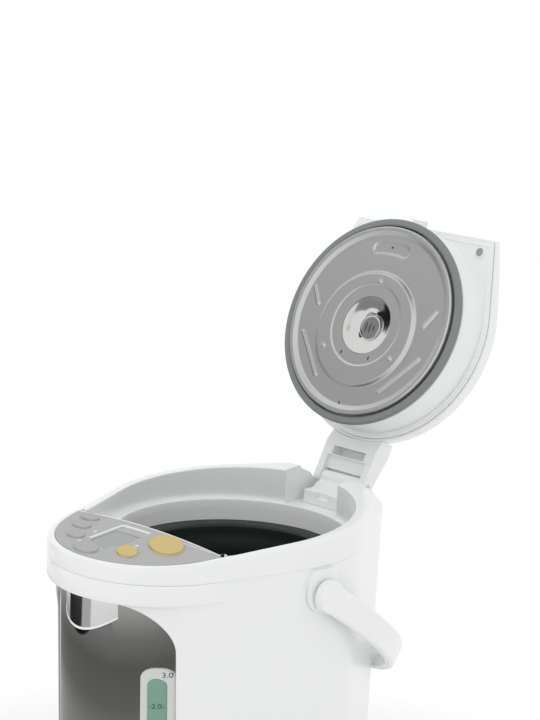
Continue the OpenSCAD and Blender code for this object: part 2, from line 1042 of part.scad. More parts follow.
module handle() {
    color("white")
    translate([0, pivot_y, pivot_z])
        rotate([-bail_drop, 0, 0])
            difference() {
                union() {
                    translate([0, 0, -strap_w / 2])
                        linear_extrude(strap_w)
                            difference() {
                                bail_plan(0);
                                bail_plan(strap_t);
                            }
                    for (side = [-1, 1])
                        translate([side * (bail_in + strap_t / 2), 0, 0])
                            rotate([0, 90, 0])
                                cylinder(r = strap_w / 2 + 1.5, h = strap_t, center = true);
                }
                rotate([0, 90, 0])
                    cylinder(r = pivot_r + run_gap, h = 2 * bail_out - 4, center = true);
            }
}

// ---- lid, all drawn shut ----

// Flat outline of the lid
module lid_plan(inset)
    intersection() {
        hull() {
            translate([0, main_y])
                circle(r = main_r - lid_band - inset);
            translate([0, nose_y])
                circle(r = nose_r - lid_band - inset);
        }
        translate([-main_r, lid_chord + inset])
            square([body_w, body_w]);
    }

// Upright walls under a shallow ball-shaped crown
module lid_dome(inset, low)
    intersection() {
        translate([0, 0, lid_z - low])
            linear_extrude(60)
                lid_plan(inset);
        translate([0, main_y, lid_z + lid_side + lid_rise - lid_ball])
            sphere(r = lid_ball - inset, $fn = 200);
    }

lever_half = 15;
lever_y = lid_chord + 17.5;
lever_z = lid_z + 9.4;
trunnion_r = 1.2;

// Side view of the hinge arm, as a flat polygon along Y and Z
module arm_side()
    polygon([
        [hinge_y + 2, hinge_z + knuckle_r - 0.8], [hinge_y - 12, hinge_z + 9],
        [hinge_y - 26, hinge_z + 13], [hinge_y - 48, hinge_z + 15],
        [hinge_y - 48, hinge_z + 4], [hinge_y - 30, hinge_z - 4],
        [hinge_y, hinge_z - knuckle_r]
    ]);

module lid_shell() {
    color("whitesmoke")
    open_lid()
        difference() {
            union() {
                difference() {
                    lid_dome(0, 0);
                    lid_dome(2.4, 2);
                }
                // lugs that carry the latch lever's trunnions
                for (side = [-1, 1])
                    translate([side * 17 - 1.7, lever_y - 4, lid_z + 5.4])
                        cube([3.4, 8, 7.8]);
            }
            // room for the latch lever in the front of the crown
            translate([-lever_half - body_gap, lid_chord - over, lid_z + 5.8])
                cube([2 * (lever_half + body_gap), 24, 14]);
            translate([0, lever_y, lever_z])
                rotate([0, 90, 0])
                    cylinder(r = trunnion_r + run_gap, h = 2 * lever_half + 6, center = true);
        }
}

// Arm that carries the lid, with a knuckle at each cheek
module hinge_arm() {
    color("white")
    open_lid()
        difference() {
            union() {
                translate([-arm_half, 0, 0])
                    rotate([90, 0, 90])
                        linear_extrude(2 * arm_half)
                            arm_side();
                translate([-arm_half, hinge_y, hinge_z])
                    rotate([0, 90, 0])
                        cylinder(r = knuckle_r, h = 2 * arm_half);
            }
            // the front end follows the lid's round side
            translate([0, main_y, hinge_z - 40])
                cylinder(r = main_r - lid_band + seat_gap, h = 80);
            // room for the saddle between the cheeks
            translate([0, hinge_y, hinge_z])
                rotate([0, 90, 0])
                    cylinder(r = knuckle_r + 1.2, h = 2 * (arm_half - cheek_t), center = true);
            translate([-arm_half + cheek_t, hinge_y - 18, hinge_z - 20])
                cube([2 * (arm_half - cheek_t), 40, 20 - 1]);
            // pin bore through both cheeks
            translate([0, hinge_y, hinge_z])
                rotate([0, 90, 0])
                    cylinder(r = pin_r + run_gap, h = 80, center = true);
            // slot of the lid-release window
            translate([-17, hinge_y - 26, hinge_z - 10])
                cube([34, 7, 18]);
        }
}

tray_t = 2;
spigot_r = 85;
tray_z = lid_z - 1.8;

// Inner moulding: a flat tray with the spigot that carries the seal
module lid_tray() {
    color("white")
    open_lid()
        difference() {
            union() {
                translate([0, 0, tray_z])
                    linear_extrude(tray_t)
                        lid_plan(2.6);
                rotate_extrude()
                    polygon([
                        [spigot_r - 3, tray_z + 0.5], [spigot_r + 3, tray_z + 0.5],
                        [spigot_r, seal_z + 7], [spigot_r - 3, seal_z + 7]
                    ]);
                rotate_extrude()
                    translate([0, seal_z + 7])
                        square([spigot_r, 2]);
                // stop behind the latch spring
                translate([-4, lid_chord + 21.3, tray_z + 1])
                    cube([8, 2, 8]);
            }
            // steam passage down the middle
            translate([0, 0, seal_z])
                cylinder(r = 10, h = 60);
            for (side = [-1, 1])
                translate([side * 62, lid_chord + 12, tray_z - over])
                    cylinder(r = 2, h = 10);
            // opening for the latch hook
            translate([-9, lid_chord + 2, hook_z - 1])
                cube([18, 9, tray_z + tray_t + over - hook_z + 1]);
        }
}

// Soft ring with a wide lip and a narrower step
module lid_seal() {
    color("gray")
    open_lid()
        rotate_extrude()
            polygon([
                [seal_r - 7.3, seal_z], [seal_r - 1, seal_z], [seal_r, seal_z + 1.5],
                [seal_r, seal_z + 3.4], [seal_r - 3, seal_z + 4.4], [seal_r - 2, seal_z + 6.9],
                [seal_r - 7.3, seal_z + 6.9]
            ]);
}

plate_r = seal_r - 7.5;
plate_z = seal_z - 2;
dish_h = 6;
dish_t = 1.2;
dish_top = plate_z + dish_h + dish_t;

// Pressed steel plate that faces the water
module inner_lid() {
    color("silver")
    open_lid()
        difference() {
            union() {
                rotate_extrude()
                    polygon([
                        [26, plate_z + 1], [44, plate_z + 1], [46, plate_z + 3],
                        [plate_r - 6, plate_z + 3], [plate_r - 4, plate_z], [plate_r, plate_z],
                        [plate_r, plate_z + 4], [plate_r - 4.5, plate_z + 4],
                        [45.5, plate_z + 4], [43.5, plate_z + 2], [26, plate_z + 2]
                    ]);
                for (turn = [95, 215, 335])
                    rotate([0, 0, turn])
                        translate([36, 0, plate_z + 0.2])
                            cylinder(r = 2, h = 1.2, $fn = small_fn);
            }
            for (turn = [250, 285])
                rotate([0, 0, turn])
                    translate([36, 0, plate_z - over])
                        cube([2.4, 1.2, 10]);
        }
}

vent_ball_r = 4;

// Dished cap over the steam vent, with three slots and a cage for the ball
module vent_dome() {
    color("lightgray")
    open_lid()
        difference() {
            union() {
                ring(vent_ball_r + body_gap, vent_ball_r + 1.3, dish_top - 0.1, dish_top + 4.9);
                rotate_extrude()
                    polygon([
                    [0, plate_z + dish_h], [9.5, plate_z + dish_h], [12, plate_z + dish_h - 0.5],
                    [22, plate_z + 1.2], [25.9, plate_z + 0.4], [25.9, plate_z + 1.6],
                    [23, plate_z + 2.4], [13, dish_top - 0.5], [10, dish_top], [0, dish_top]
                    ]);
            }
            for (i = [-1:1])
                translate([i * 4 - 0.7, -4, plate_z + dish_h - over])
                    cube([1.4, 8, 5]);
        }
}

// Ball that shuts the steam passage when the pot tips
module vent_ball() {
    color("silver")
    open_lid()
        translate([0, 0, dish_top + vent_ball_r + body_gap])
            sphere(r = vent_ball_r, $fn = small_fn);
}

module lid_screws() {
    color("silver")
    open_lid()
        for (side = [-1, 1])
            translate([side * 62, lid_chord + 12, 0]) {
                translate([0, 0, tray_z - 1.6])
                    cylinder(r = 3.4, h = 1.5, $fn = small_fn);
                translate([0, 0, tray_z - 0.2])
                    cylinder(r = 1.9, h = 6, $fn = small_fn);
            }
}

spring_r = 2.4;
spring_wire = 0.35;
spring_turns = 6;

// Sliding latch: its nose goes under the collar's web
module lid_latch() {
    color("white")
    open_lid() {
        translate([-7, lid_chord + 2.6, hook_z + 2])
            cube([14, 3, lid_z - hook_z + 1]);
        translate([-7, lid_chord - 3, hook_z])
            cube([14, 8.6, 2.5]);
        translate([-7, lid_chord + 2.6, lid_z + 2.6])
            cube([14, 8, 2.4]);
    }
}

// Return spring behind the latch, wound along Y
module latch_spring() {
    rings = 8;
    sides = 6;
    spring_l = 10;
    steps = spring_turns * rings;
    function along(i) = i / steps;
    function centre(i) =
        [spring_r * cos(i * 360 / rings), spring_l * along(i), spring_r * sin(i * 360 / rings)];
    function rim_point(i, j) =
        let (turn = i * 360 / rings, side = j * 360 / sides, out = spring_wire * cos(side))
        centre(i) + [out * cos(turn), spring_wire * sin(side), out * sin(turn)];
    points = [for (i = [0:steps], j = [0:sides - 1]) rim_point(i, j)];
    faces = concat(
        [[for (j = [0:sides - 1]) j]],
        [for (i = [0:steps - 1], j = [0:sides - 1])
            let (a = i * sides, b = a + sides, n = (j + 1) % sides)
            [a + j, b + j, b + n, a + n]],
        [[for (j = [sides - 1:-1:0]) steps * sides + j]]
    );
    echo(spring_gap = spring_l / spring_turns - 2 * spring_wire);
    color("silver")
    open_lid()
        translate([0, lid_chord + 10.9, lid_z + 4])
            polyhedron(points = points, faces = faces, convexity = 4);
}

// Lever that is pulled up to free the latch
module latch_lever() {
    color("white")
    open_lid()
        difference() {
            union() {
                translate([-lever_half, lid_chord + 1, lid_z + 9])
                    cube([2 * lever_half, 20, 3]);
                translate([0, lever_y, lever_z])
                    rotate([0, 90, 0])
                        cylinder(r = trunnion_r, h = 2 * lever_half + 5, center = true);
            }
            // finger scoop in the front edge
            translate([0, lid_chord + 1, lid_z + 7.4])
                rotate([0, 90, 0])
                    cylinder(r = 2, h = 18, center = true);
        }
}

swivel_base();
base_feet();
swivel_retainer();
body_shell();
nose_hood();
base_cover();
base_screws();
collar();
hinge_block();
hinge_pins();
front_mirror();
spout_shroud();
spout_nozzle();
delivery_pipe();
gauge_frame();
gauge_window();
gauge_tube();
gauge_elbows();
power_inlet();
inlet_pins();
side_bosses();
handle_pivots();
panel_plate();
lcd_window();
lcd_module();
led_lenses();
control_pcb();
key_mat();
inner_pot();
pot_gasket();
heat_shield();
main_heater();
warm_heater();
thermostat();
thermal_fuse();
pump_housing();
pump_motor();
pump_inlet();
power_pcb();
handle();
timer_key();
temperature_key();
descale_key();
reheat_key();
unlock_key();
dispense_key();
pump_rotor();
drive_magnet();
outlet_check_ball();
lid_shell();
hinge_arm();
lid_tray();
lid_seal();
inner_lid();
vent_dome();
vent_ball();
lid_screws();
lid_latch();
latch_spring();
latch_lever();
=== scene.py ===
"""Looks of an electric thermo pot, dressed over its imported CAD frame.

Sizes are millimetres in the frame of the CAD model: the origin is on the table under
the middle of the mouth, -Y points to the spout, +Y to the lid hinge and +Z up. They
become metres only when a mesh is made. The studio's places are metres.
"""

import json  # noqa: E402
import logging  # noqa: E402
import math  # noqa: E402
from dataclasses import dataclass  # noqa: E402
from enum import Enum  # noqa: E402

import bmesh  # noqa: E402
import bpy  # noqa: E402
import numpy as np  # noqa: E402
from mathutils import Matrix, Vector  # noqa: E402


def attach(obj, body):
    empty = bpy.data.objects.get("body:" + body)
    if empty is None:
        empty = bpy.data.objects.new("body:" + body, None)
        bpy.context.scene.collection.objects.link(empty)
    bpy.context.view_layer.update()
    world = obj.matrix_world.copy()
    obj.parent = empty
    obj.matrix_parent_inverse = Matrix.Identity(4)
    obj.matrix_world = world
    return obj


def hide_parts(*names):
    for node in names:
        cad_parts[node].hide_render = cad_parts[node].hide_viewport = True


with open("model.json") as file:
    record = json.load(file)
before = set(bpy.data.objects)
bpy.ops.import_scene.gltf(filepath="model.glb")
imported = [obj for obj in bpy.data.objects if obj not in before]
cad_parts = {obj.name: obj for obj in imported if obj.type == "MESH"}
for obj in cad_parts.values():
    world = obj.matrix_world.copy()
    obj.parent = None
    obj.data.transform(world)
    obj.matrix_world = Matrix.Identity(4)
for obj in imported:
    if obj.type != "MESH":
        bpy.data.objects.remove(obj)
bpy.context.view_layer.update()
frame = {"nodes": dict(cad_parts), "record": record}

LOG = logging.getLogger("thermo_pot")
MM = 0.001
TURN = 2 * np.pi

Array = np.ndarray
Colour = tuple[float, float, float]
Point = tuple[float, float, float]
Rows = list[tuple[Array, Array | float]]


# ---------------------------------------------------------------- shader maths


class Value:
    """A shader socket whose arithmetic adds Math nodes to its graph."""

    def __init__(self, graph: "Graph", socket: bpy.types.NodeSocket) -> None:
        """Wraps one output socket of a graph."""
        self.graph = graph
        self.socket = socket

    def _math(self, operation: str, first: "Value | float", second: "Value | float") -> "Value":
        """Adds one Math node and returns its value."""
        settings = {"operation": operation}
        return self.graph.node("ShaderNodeMath", settings, {0: first, 1: second})

    def __add__(self, other: "Value | float") -> "Value":
        """self + other."""
        return self._math("ADD", self, other)

    __radd__ = __add__

    def __sub__(self, other: "Value | float") -> "Value":
        """self - other."""
        return self._math("SUBTRACT", self, other)

    def __rsub__(self, other: "Value | float") -> "Value":
        """other - self."""
        return self._math("SUBTRACT", other, self)

    def __mul__(self, other: "Value | float") -> "Value":
        """self * other."""
        return self._math("MULTIPLY", self, other)

    __rmul__ = __mul__

    def __gt__(self, other: "Value | float") -> "Value":
        """1 where self is above other."""
        return self._math("GREATER_THAN", self, other)

    def most(self, other: "Value | float") -> "Value":
        """The larger of self and other."""
        return self._math("MAXIMUM", self, other)


class Graph:
    """The node tree of a material or of the world."""

    def __init__(self, tree: bpy.types.NodeTree) -> None:
        """Takes a tree with Blender's own first nodes in it."""
        self.tree = tree

    def node(
        self, kind: str, settings: dict, inputs: dict, output: int | str = 0
    ) -> Value:
        """Adds a node, sets it up and feeds it.

        Args:
            kind: The node's type name.
            settings: Attributes set before the inputs; "stops" fills a colour ramp.
            inputs: Values or links by socket name or index.
            output: The output socket to return.

        Returns:
            The chosen output as a Value.
        """
        made = self.tree.nodes.new(kind)
        for key, value in settings.items():
            if key == "stops":
                elements = made.color_ramp.elements
                while len(elements) < len(value):
                    elements.new(0.5)
                for element, (place, colour) in zip(elements, value):
                    element.position, element.color = place, (*colour, 1)
            else:
                setattr(made, key, value)
        for key, value in inputs.items():
            self.feed(made.inputs[key], value)
        return Value(self, made.outputs[output])

    def feed(self, socket: bpy.types.NodeSocket, value: "Value | float | tuple") -> None:
        """Links a Value to a socket, or sets a plain number or colour on it.

        Args:
            socket: The input to feed.
            value: A Value, a number, a vector or a colour without its alpha.
        """
        if isinstance(value, Value):
            self.tree.links.new(value.socket, socket)
        elif isinstance(value, tuple) and len(value) == 3 and socket.type == "RGBA":
            socket.default_value = (*value, 1)
        else:
            socket.default_value = value

    def place(self, scale: Point = (1, 1, 1)) -> Value:
        """Object coordinates, stretched by scale."""
        coordinates = self.node("ShaderNodeTexCoord", {}, {}, "Object")
        return self.node("ShaderNodeMapping", {}, {"Vector": coordinates, "Scale": scale})

    def reach(self) -> Value:
        """Distance from the object's origin in metres."""
        inputs = {0: self.node("ShaderNodeTexCoord", {}, {}, "Object")}
        return self.node("ShaderNodeVectorMath", {"operation": "LENGTH"}, inputs, "Value")

    def noise(self, scale: float, detail: float = 2, where: Value | None = None) -> Value:
        """Soft noise in object space; scale is in waves per metre."""
        inputs = {"Vector": where or self.place(), "Scale": scale, "Detail": detail}
        return self.node("ShaderNodeTexNoise", {}, inputs, "Fac")

    def blend(self, factor: Value, first: Value | Colour, second: Value | Colour) -> Value:
        """Mixes two colours."""
        inputs = {0: factor, 6: first, 7: second}
        return self.node("ShaderNodeMix", {"data_type": "RGBA"}, inputs, 2)

    def bump(self, height: Value, distance: float) -> None:
        """Feeds the Principled shader's normal with a relief of that depth in metres."""
        inputs = {"Height": height, "Distance": distance, "Strength": 1.0}
        self.set(Normal=self.node("ShaderNodeBump", {}, inputs, "Normal"))

    def glow(self, colour: Value | Colour) -> Value:
        """An Emission shader of strength 1."""
        return self.node("ShaderNodeEmission", {}, {"Color": colour})

    def set(self, **sockets: "Value | float | tuple") -> None:
        """Feeds the Principled shader's sockets; an underscore stands for a space."""
        for name, value in sockets.items():
            self.feed(self.tree.nodes["Principled BSDF"].inputs[name.replace("_", " ")], value)

    def show(self, surface: Value) -> None:
        """Puts another surface shader in the place of the Principled one."""
        self.tree.nodes.remove(self.tree.nodes["Principled BSDF"])
        self.feed(self.tree.nodes["Material Output"].inputs["Surface"], surface)


def node_material(name: str) -> tuple[bpy.types.Material, Graph]:
    """Makes a material that uses nodes.

    Args:
        name: The material's name.

    Returns:
        The material, and its graph.
    """
    made = bpy.data.materials.new(name)
    made.use_nodes = True
    return made, Graph(made.node_tree)


def shade(colour: Colour, factor: float) -> Colour:
    """The colour times a factor."""
    return tuple(channel * factor for channel in colour)


# --------------------------------------------------------------------- finishes


@dataclass(frozen=True)
class Moulded:
    """Moulded plastic: a faint cloud of tone, soft orange peel and uneven gloss.

    Sizes of patterns are in waves per metre, and depths are in metres.
    """

    colour: Colour
    roughness: float = 0.3
    coat: float = 0.0
    coat_roughness: float = 0.12
    peel_size: float = 260
    peel_depth: float = 0.00002
    cloud: float = 0.965
    cloud_size: float = 22
    gloss_size: float = 140
    gloss_spread: float = 0.08

    def dress(self, graph: Graph) -> None:
        """Builds the nodes.

        Args:
            graph: The material's graph.
        """
        tone = graph.noise(self.cloud_size, 3)
        gloss = graph.noise(self.gloss_size, 4)
        graph.set(
            Base_Color=graph.blend(tone, shade(self.colour, self.cloud), self.colour),
            Roughness=gloss * self.gloss_spread + (self.roughness - self.gloss_spread / 2),
            Coat_Weight=self.coat,
            Coat_Roughness=self.coat_roughness,
        )
        graph.bump(graph.noise(self.peel_size, 2), self.peel_depth)


@dataclass(frozen=True)
class Metal:
    """Bare or plated metal; grain stretches its noise along one way."""

    colour: Colour
    roughness: float
    wander: float = 0.06
    grain: Point = (1, 1, 1)
    streak_size: float = 120
    depth: float = 0.000004
    smear: float = 0.93
    smear_size: float = 18

    def dress(self, graph: Graph) -> None:
        """Builds the nodes.

        Args:
            graph: The material's graph.
        """
        streak = graph.noise(self.streak_size, 4, graph.place(self.grain))
        smear = graph.noise(self.smear_size, 3)
        graph.set(
            Metallic=1.0,
            Base_Color=graph.blend(smear, shade(self.colour, self.smear), self.colour),
            Roughness=(streak + smear) * self.wander + (self.roughness - self.wander),
        )
        graph.bump(streak, self.depth)


@dataclass(frozen=True)
class Rubber:
    """Soft rubber or silicone: matt, with a fine skin and lighter dust."""

    colour: Colour
    roughness: float = 0.62
    spread: float = 0.16
    dark: float = 0.9
    dusty: float = 1.08
    dust_size: float = 60
    skin_size: float = 1400
    skin_depth: float = 0.00003

    def dress(self, graph: Graph) -> None:
        """Builds the nodes.

        Args:
            graph: The material's graph.
        """
        dust = graph.noise(self.dust_size, 5)
        skin = graph.noise(self.skin_size, 2)
        low, high = shade(self.colour, self.dark), shade(self.colour, self.dusty)
        graph.set(
            Base_Color=graph.blend(dust, low, high),
            Roughness=skin * self.spread + (self.roughness - self.spread / 2),
        )
        graph.bump(skin, self.skin_depth)


@dataclass(frozen=True)
class Speckled:
    """A dark baked coating or a flaked film, with specks of a second tone."""

    colour: Colour
    speck: Colour
    roughness: float
    metallic: float = 0.0
    flake_size: float = 1800
    coat: float = 0.0
    cloud_size: float = 30
    spread: float = 0.08
    flake_depth: float = 0.000012

    def dress(self, graph: Graph) -> None:
        """Builds the nodes.

        Args:
            graph: The material's graph.
        """
        flake = graph.noise(self.flake_size, 2)
        tone = graph.noise(self.cloud_size, 3)
        graph.set(
            Base_Color=graph.blend(flake, self.colour, self.speck),
            Metallic=self.metallic,
            Roughness=tone * self.spread + (self.roughness - self.spread / 2),
            Coat_Weight=self.coat,
        )
        graph.bump(flake, self.flake_depth)


@dataclass(frozen=True)
class Glazed:
    """A glossy window over something coloured, with a second colour below a level in metres."""

    colour: Colour
    low_colour: Colour
    level: float = -1.0
    roughness: float = 0.08
    coat: float = 0.6
    high_cloud: float = 0.92
    low_cloud: float = 0.9
    cloud_size: float = 90
    smudge_size: float = 300
    smudge_spread: float = 0.05
    wave_size: float = 200
    wave_depth: float = 0.00001

    def dress(self, graph: Graph) -> None:
        """Builds the nodes.

        Args:
            graph: The material's graph.
        """
        height = graph.node("ShaderNodeSeparateXYZ", {}, {0: graph.place()}, "Z")
        cloud = graph.noise(self.cloud_size, 3)
        low = graph.blend(cloud, shade(self.low_colour, self.low_cloud), self.low_colour)
        high = graph.blend(cloud, shade(self.colour, self.high_cloud), self.colour)
        smudge = graph.noise(self.smudge_size, 2)
        graph.set(
            Base_Color=graph.blend(height > self.level, low, high),
            Roughness=smudge * self.smudge_spread + self.roughness,
            Coat_Weight=self.coat,
        )
        graph.bump(graph.noise(self.wave_size, 2), self.wave_depth)


class Finish(Enum):
    """Every finish of the pot, by the name of its material slot."""

    white_gloss = Moulded((0.8, 0.81, 0.81), roughness=0.26, coat=0.35)
    white_satin = Moulded((0.77, 0.785, 0.785), roughness=0.42)
    base_plastic = Moulded((0.6, 0.61, 0.61), roughness=0.45)
    panel_grey = Speckled(
        (0.335, 0.335, 0.34), (0.39, 0.39, 0.395), 0.38, metallic=0.25, flake_size=2600, coat=0.25
    )
    key_grey = Speckled(
        (0.33, 0.33, 0.335), (0.37, 0.37, 0.375), 0.36, metallic=0.2, flake_size=2600, coat=0.2
    )
    key_gold = Speckled(
        (0.58, 0.37, 0.09), (0.66, 0.44, 0.13), 0.4, metallic=0.1, flake_size=2600, coat=0.2
    )
    chrome = Metal((0.72, 0.72, 0.73), 0.06, wander=0.02)
    mirror_front = Metal((0.62, 0.615, 0.61), 0.05, wander=0.02)
    stainless = Metal(
        (0.68, 0.675, 0.67), 0.15, wander=0.04, grain=(1, 12, 12), streak_size=90, depth=0.000002
    )
    pot_coating = Speckled((0.012, 0.014, 0.017), (0.02, 0.023, 0.027), 0.4, flake_size=900)
    seal_rubber = Rubber((0.23, 0.25, 0.245))
    silicone = Rubber((0.72, 0.71, 0.66), roughness=0.4)
    foot_rubber = Rubber((0.03, 0.03, 0.032))
    lcd_glass = Glazed((0.25, 0.27, 0.26), (0.25, 0.27, 0.26))
    gauge_green = Glazed((0.3, 0.47, 0.39), (0.13, 0.29, 0.23), level=0.175)
    clear_glass = Glazed((0.8, 0.85, 0.84), (0.8, 0.85, 0.84))
    vent_steel = Metal((0.68, 0.675, 0.67), 0.13, wander=0.04)
    steel = Metal((0.52, 0.52, 0.53), 0.3, wander=0.08, grain=(1, 1, 20), streak_size=60)
    brass_pin = Metal((0.72, 0.55, 0.25), 0.25)
    board = Speckled((0.02, 0.12, 0.05), (0.03, 0.17, 0.07), 0.35)
    dark_plastic = Moulded((0.045, 0.045, 0.05), roughness=0.4)
    mica = Speckled((0.3, 0.23, 0.15), (0.42, 0.34, 0.24), 0.5)
    print_dark = Moulded((0.035, 0.05, 0.05), roughness=0.5)
    mark_white = Moulded((0.75, 0.75, 0.74), roughness=0.5)

    def material(self) -> bpy.types.Material:
        """The finish's material, made the first time it is asked for.

        Returns:
            The material of that name.
        """
        found = bpy.data.materials.get(self.name)
        if found is None:
            found, graph = node_material(self.name)
            self.value.dress(graph)
        return found


# ----------------------------------------------------------------------- meshes


def smoothstep(low: float, high: float, value: Array) -> Array:
    """3t^2 - 2t^3 of value between low and high."""
    part = np.clip((value - low) / (high - low), 0, 1)
    return part * part * (3 - 2 * part)


def turned(points: Array, degrees: float) -> Array:
    """Points turned about the X axis: (x, y cos a - z sin a, y sin a + z cos a).

    Args:
        points: Points with their coordinates along the last axis.
        degrees: The angle.

    Returns:
        The turned points.
    """
    cos, sin = math.cos(math.radians(degrees)), math.sin(math.radians(degrees))
    x, y, z = points[..., 0], points[..., 1], points[..., 2]
    return np.stack([x, y * cos - z * sin, y * sin + z * cos], -1)


@dataclass
class Grid:
    """A surface given as points[row, column], in millimetres.

    A round way joins its last line to its first.
    """

    points: Array
    round_rows: bool = False
    round_columns: bool = False

    def faces(self) -> Array:
        """The grid's quads: each cell's corners, taken round.

        Returns:
            Point numbers, four to a row.
        """
        rows, columns = self.points.shape[:2]
        row = np.arange(rows if self.round_rows else rows - 1)[:, None]
        column = np.arange(columns if self.round_columns else columns - 1)[None, :]
        next_row, next_column = (row + 1) % rows, (column + 1) % columns
        corners = [
            row * columns + column,
            row * columns + next_column,
            next_row * columns + next_column,
            next_row * columns + column,
        ]
        return np.stack(np.broadcast_arrays(*corners), -1).reshape(-1, 4)


def mesh_object(name: str, grids: list[Grid], closed: bool, sharp: float) -> bpy.types.Object:
    """One object from several grids, with doubles merged and normals smoothed.

    Args:
        name: The piece's name.
        grids: Its surfaces in millimetres.
        closed: True where the surfaces bound a solid, so normals can be turned outwards.
        sharp: The angle in degrees past which an edge stays sharp.

    Returns:
        The object, at the origin.
    """
    points, faces, count = [], [], 0
    for grid in grids:
        faces.append(grid.faces() + count)
        points.append(grid.points.reshape(-1, 3))
        count += len(points[-1])
    points, faces = np.concatenate(points) * MM, np.concatenate(faces)
    mesh = bpy.data.meshes.new(name)
    mesh.vertices.add(len(points))
    mesh.vertices.foreach_set("co", points.astype(np.float32).ravel())
    mesh.loops.add(faces.size)
    mesh.loops.foreach_set("vertex_index", faces.astype(np.int32).ravel())
    mesh.polygons.add(len(faces))
    mesh.polygons.foreach_set("loop_start", np.arange(0, faces.size, 4, dtype=np.int32))
    mesh.update(calc_edges=True)
    clean(mesh, closed)
    soften(mesh, sharp)
    return linked(name, mesh)


def linked(name: str, data: bpy.types.ID) -> bpy.types.Object:
    """A new object in the scene, at the origin.

    Args:
        name: The object's name.
        data: Its mesh, curve, lamp or camera.

    Returns:
        The object.
    """
    made = bpy.data.objects.new(name, data)
    bpy.context.scene.collection.objects.link(made)
    return made


def clean(mesh: bpy.types.Mesh, closed: bool) -> None:
    """Merges doubles, drops faces without area and, on a closed mesh, turns normals out.

    Args:
        mesh: The mesh to change, in metres.
        closed: True where it bounds a solid.
    """
    work = bmesh.new()
    work.from_mesh(mesh)
    bmesh.ops.remove_doubles(work, verts=work.verts, dist=2e-6)
    bmesh.ops.dissolve_degenerate(work, edges=work.edges, dist=1e-6)
    if closed:
        bmesh.ops.recalc_face_normals(work, faces=work.faces)
    work.to_mesh(mesh)
    work.free()


def soften(mesh: bpy.types.Mesh, sharp: float) -> None:
    """Smooth shading, with the edges past an angle kept sharp.

    Args:
        mesh: The mesh to change.
        sharp: The angle in degrees.
    """
    mesh.polygons.foreach_set("use_smooth", np.ones(len(mesh.polygons), bool))
    mesh.set_sharp_from_angle(angle=math.radians(sharp))
    mesh.update()


def carve(piece: bpy.types.Object, cutters: list[bpy.types.Object], sharp: float) -> None:
    """Cuts solids out of a piece and removes them.

    Args:
        piece: The piece to cut.
        cutters: Closed solids.
        sharp: The angle in degrees past which an edge stays sharp.
    """
    for number, cutter in enumerate(cutters):
        modifier = piece.modifiers.new(f"cut{number}", "BOOLEAN")
        modifier.operation, modifier.solver, modifier.object = "DIFFERENCE", "EXACT", cutter
    graph = bpy.context.evaluated_depsgraph_get()
    cut = bpy.data.meshes.new_from_object(piece.evaluated_get(graph))
    piece.modifiers.clear()
    piece.data = cut
    for cutter in cutters:
        bpy.data.objects.remove(cutter)
    soften(cut, sharp)


def fit(piece: bpy.types.Object, finish: Finish, body: str, *nodes: str) -> None:
    """Gives a piece its finish and its body, and lets it stand for CAD nodes.

    Args:
        piece: The finished piece.
        finish: Its finish, whose name is also the record's slot where it has one.
        body: The body that it moves with.
        nodes: The CAD nodes that it replaces.
    """
    piece.data.materials.clear()
    piece.data.materials.append(finish.material())
    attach(piece, body)
    if nodes:
        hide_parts(*nodes)
    LOG.info("%s: %d faces on %s", piece.name, len(piece.data.polygons), body)


def box_solid(name: str, low: Point, high: Point) -> bpy.types.Object:
    """A closed upright box, for cutting.

    Args:
        name: Its name.
        low: Its lowest corner in millimetres.
        high: Its highest corner.

    Returns:
        The box.
    """
    (x0, y0, z0), (x1, y1, z1) = low, high
    ring = np.array([[x0, y0], [x1, y0], [x1, y1], [x0, y1]], float)
    middle = np.broadcast_to(ring.mean(0), ring.shape)
    steps = ((middle, z0), (ring, z0), (ring, z1), (middle, z1))
    rows = [np.column_stack([plan, np.full(4, z)]) for plan, z in steps]
    return mesh_object(name, [Grid(np.array(rows), False, True)], True, 30)


def lathe(profile: Array, columns: int = 192) -> Grid:
    """A profile of (radius, height) turned round the Z axis: (r cos t, r sin t, z).

    Args:
        profile: The profile's points.
        columns: Steps round the axis.

    Returns:
        The surface, one row for each point of the profile.
    """
    turn = np.arange(columns) * TURN / columns
    radius, height = profile[:, :1], profile[:, 1:]
    x, y, z = radius * np.cos(turn), radius * np.sin(turn), height * np.ones(columns)
    return Grid(np.stack([x, y, z], -1), False, True)


def fan(line: Array) -> Grid:
    """A closed line joined to its middle."""
    return Grid(np.stack([line, np.broadcast_to(line.mean(0), line.shape)]), False, True)


def slab(face: Array, back: Array) -> list[Grid]:
    """A bent slab between two faces with the same grid.

    Args:
        face: Points of the front.
        back: Points of the rear.

    Returns:
        Its two faces and its four edges.
    """
    sides = [Grid(face), Grid(back[::-1])]
    for edge in ((0, slice(None)), (-1, slice(None)), (slice(None), 0), (slice(None), -1)):
        sides.append(Grid(np.stack([face[edge], back[edge]])))
    return sides


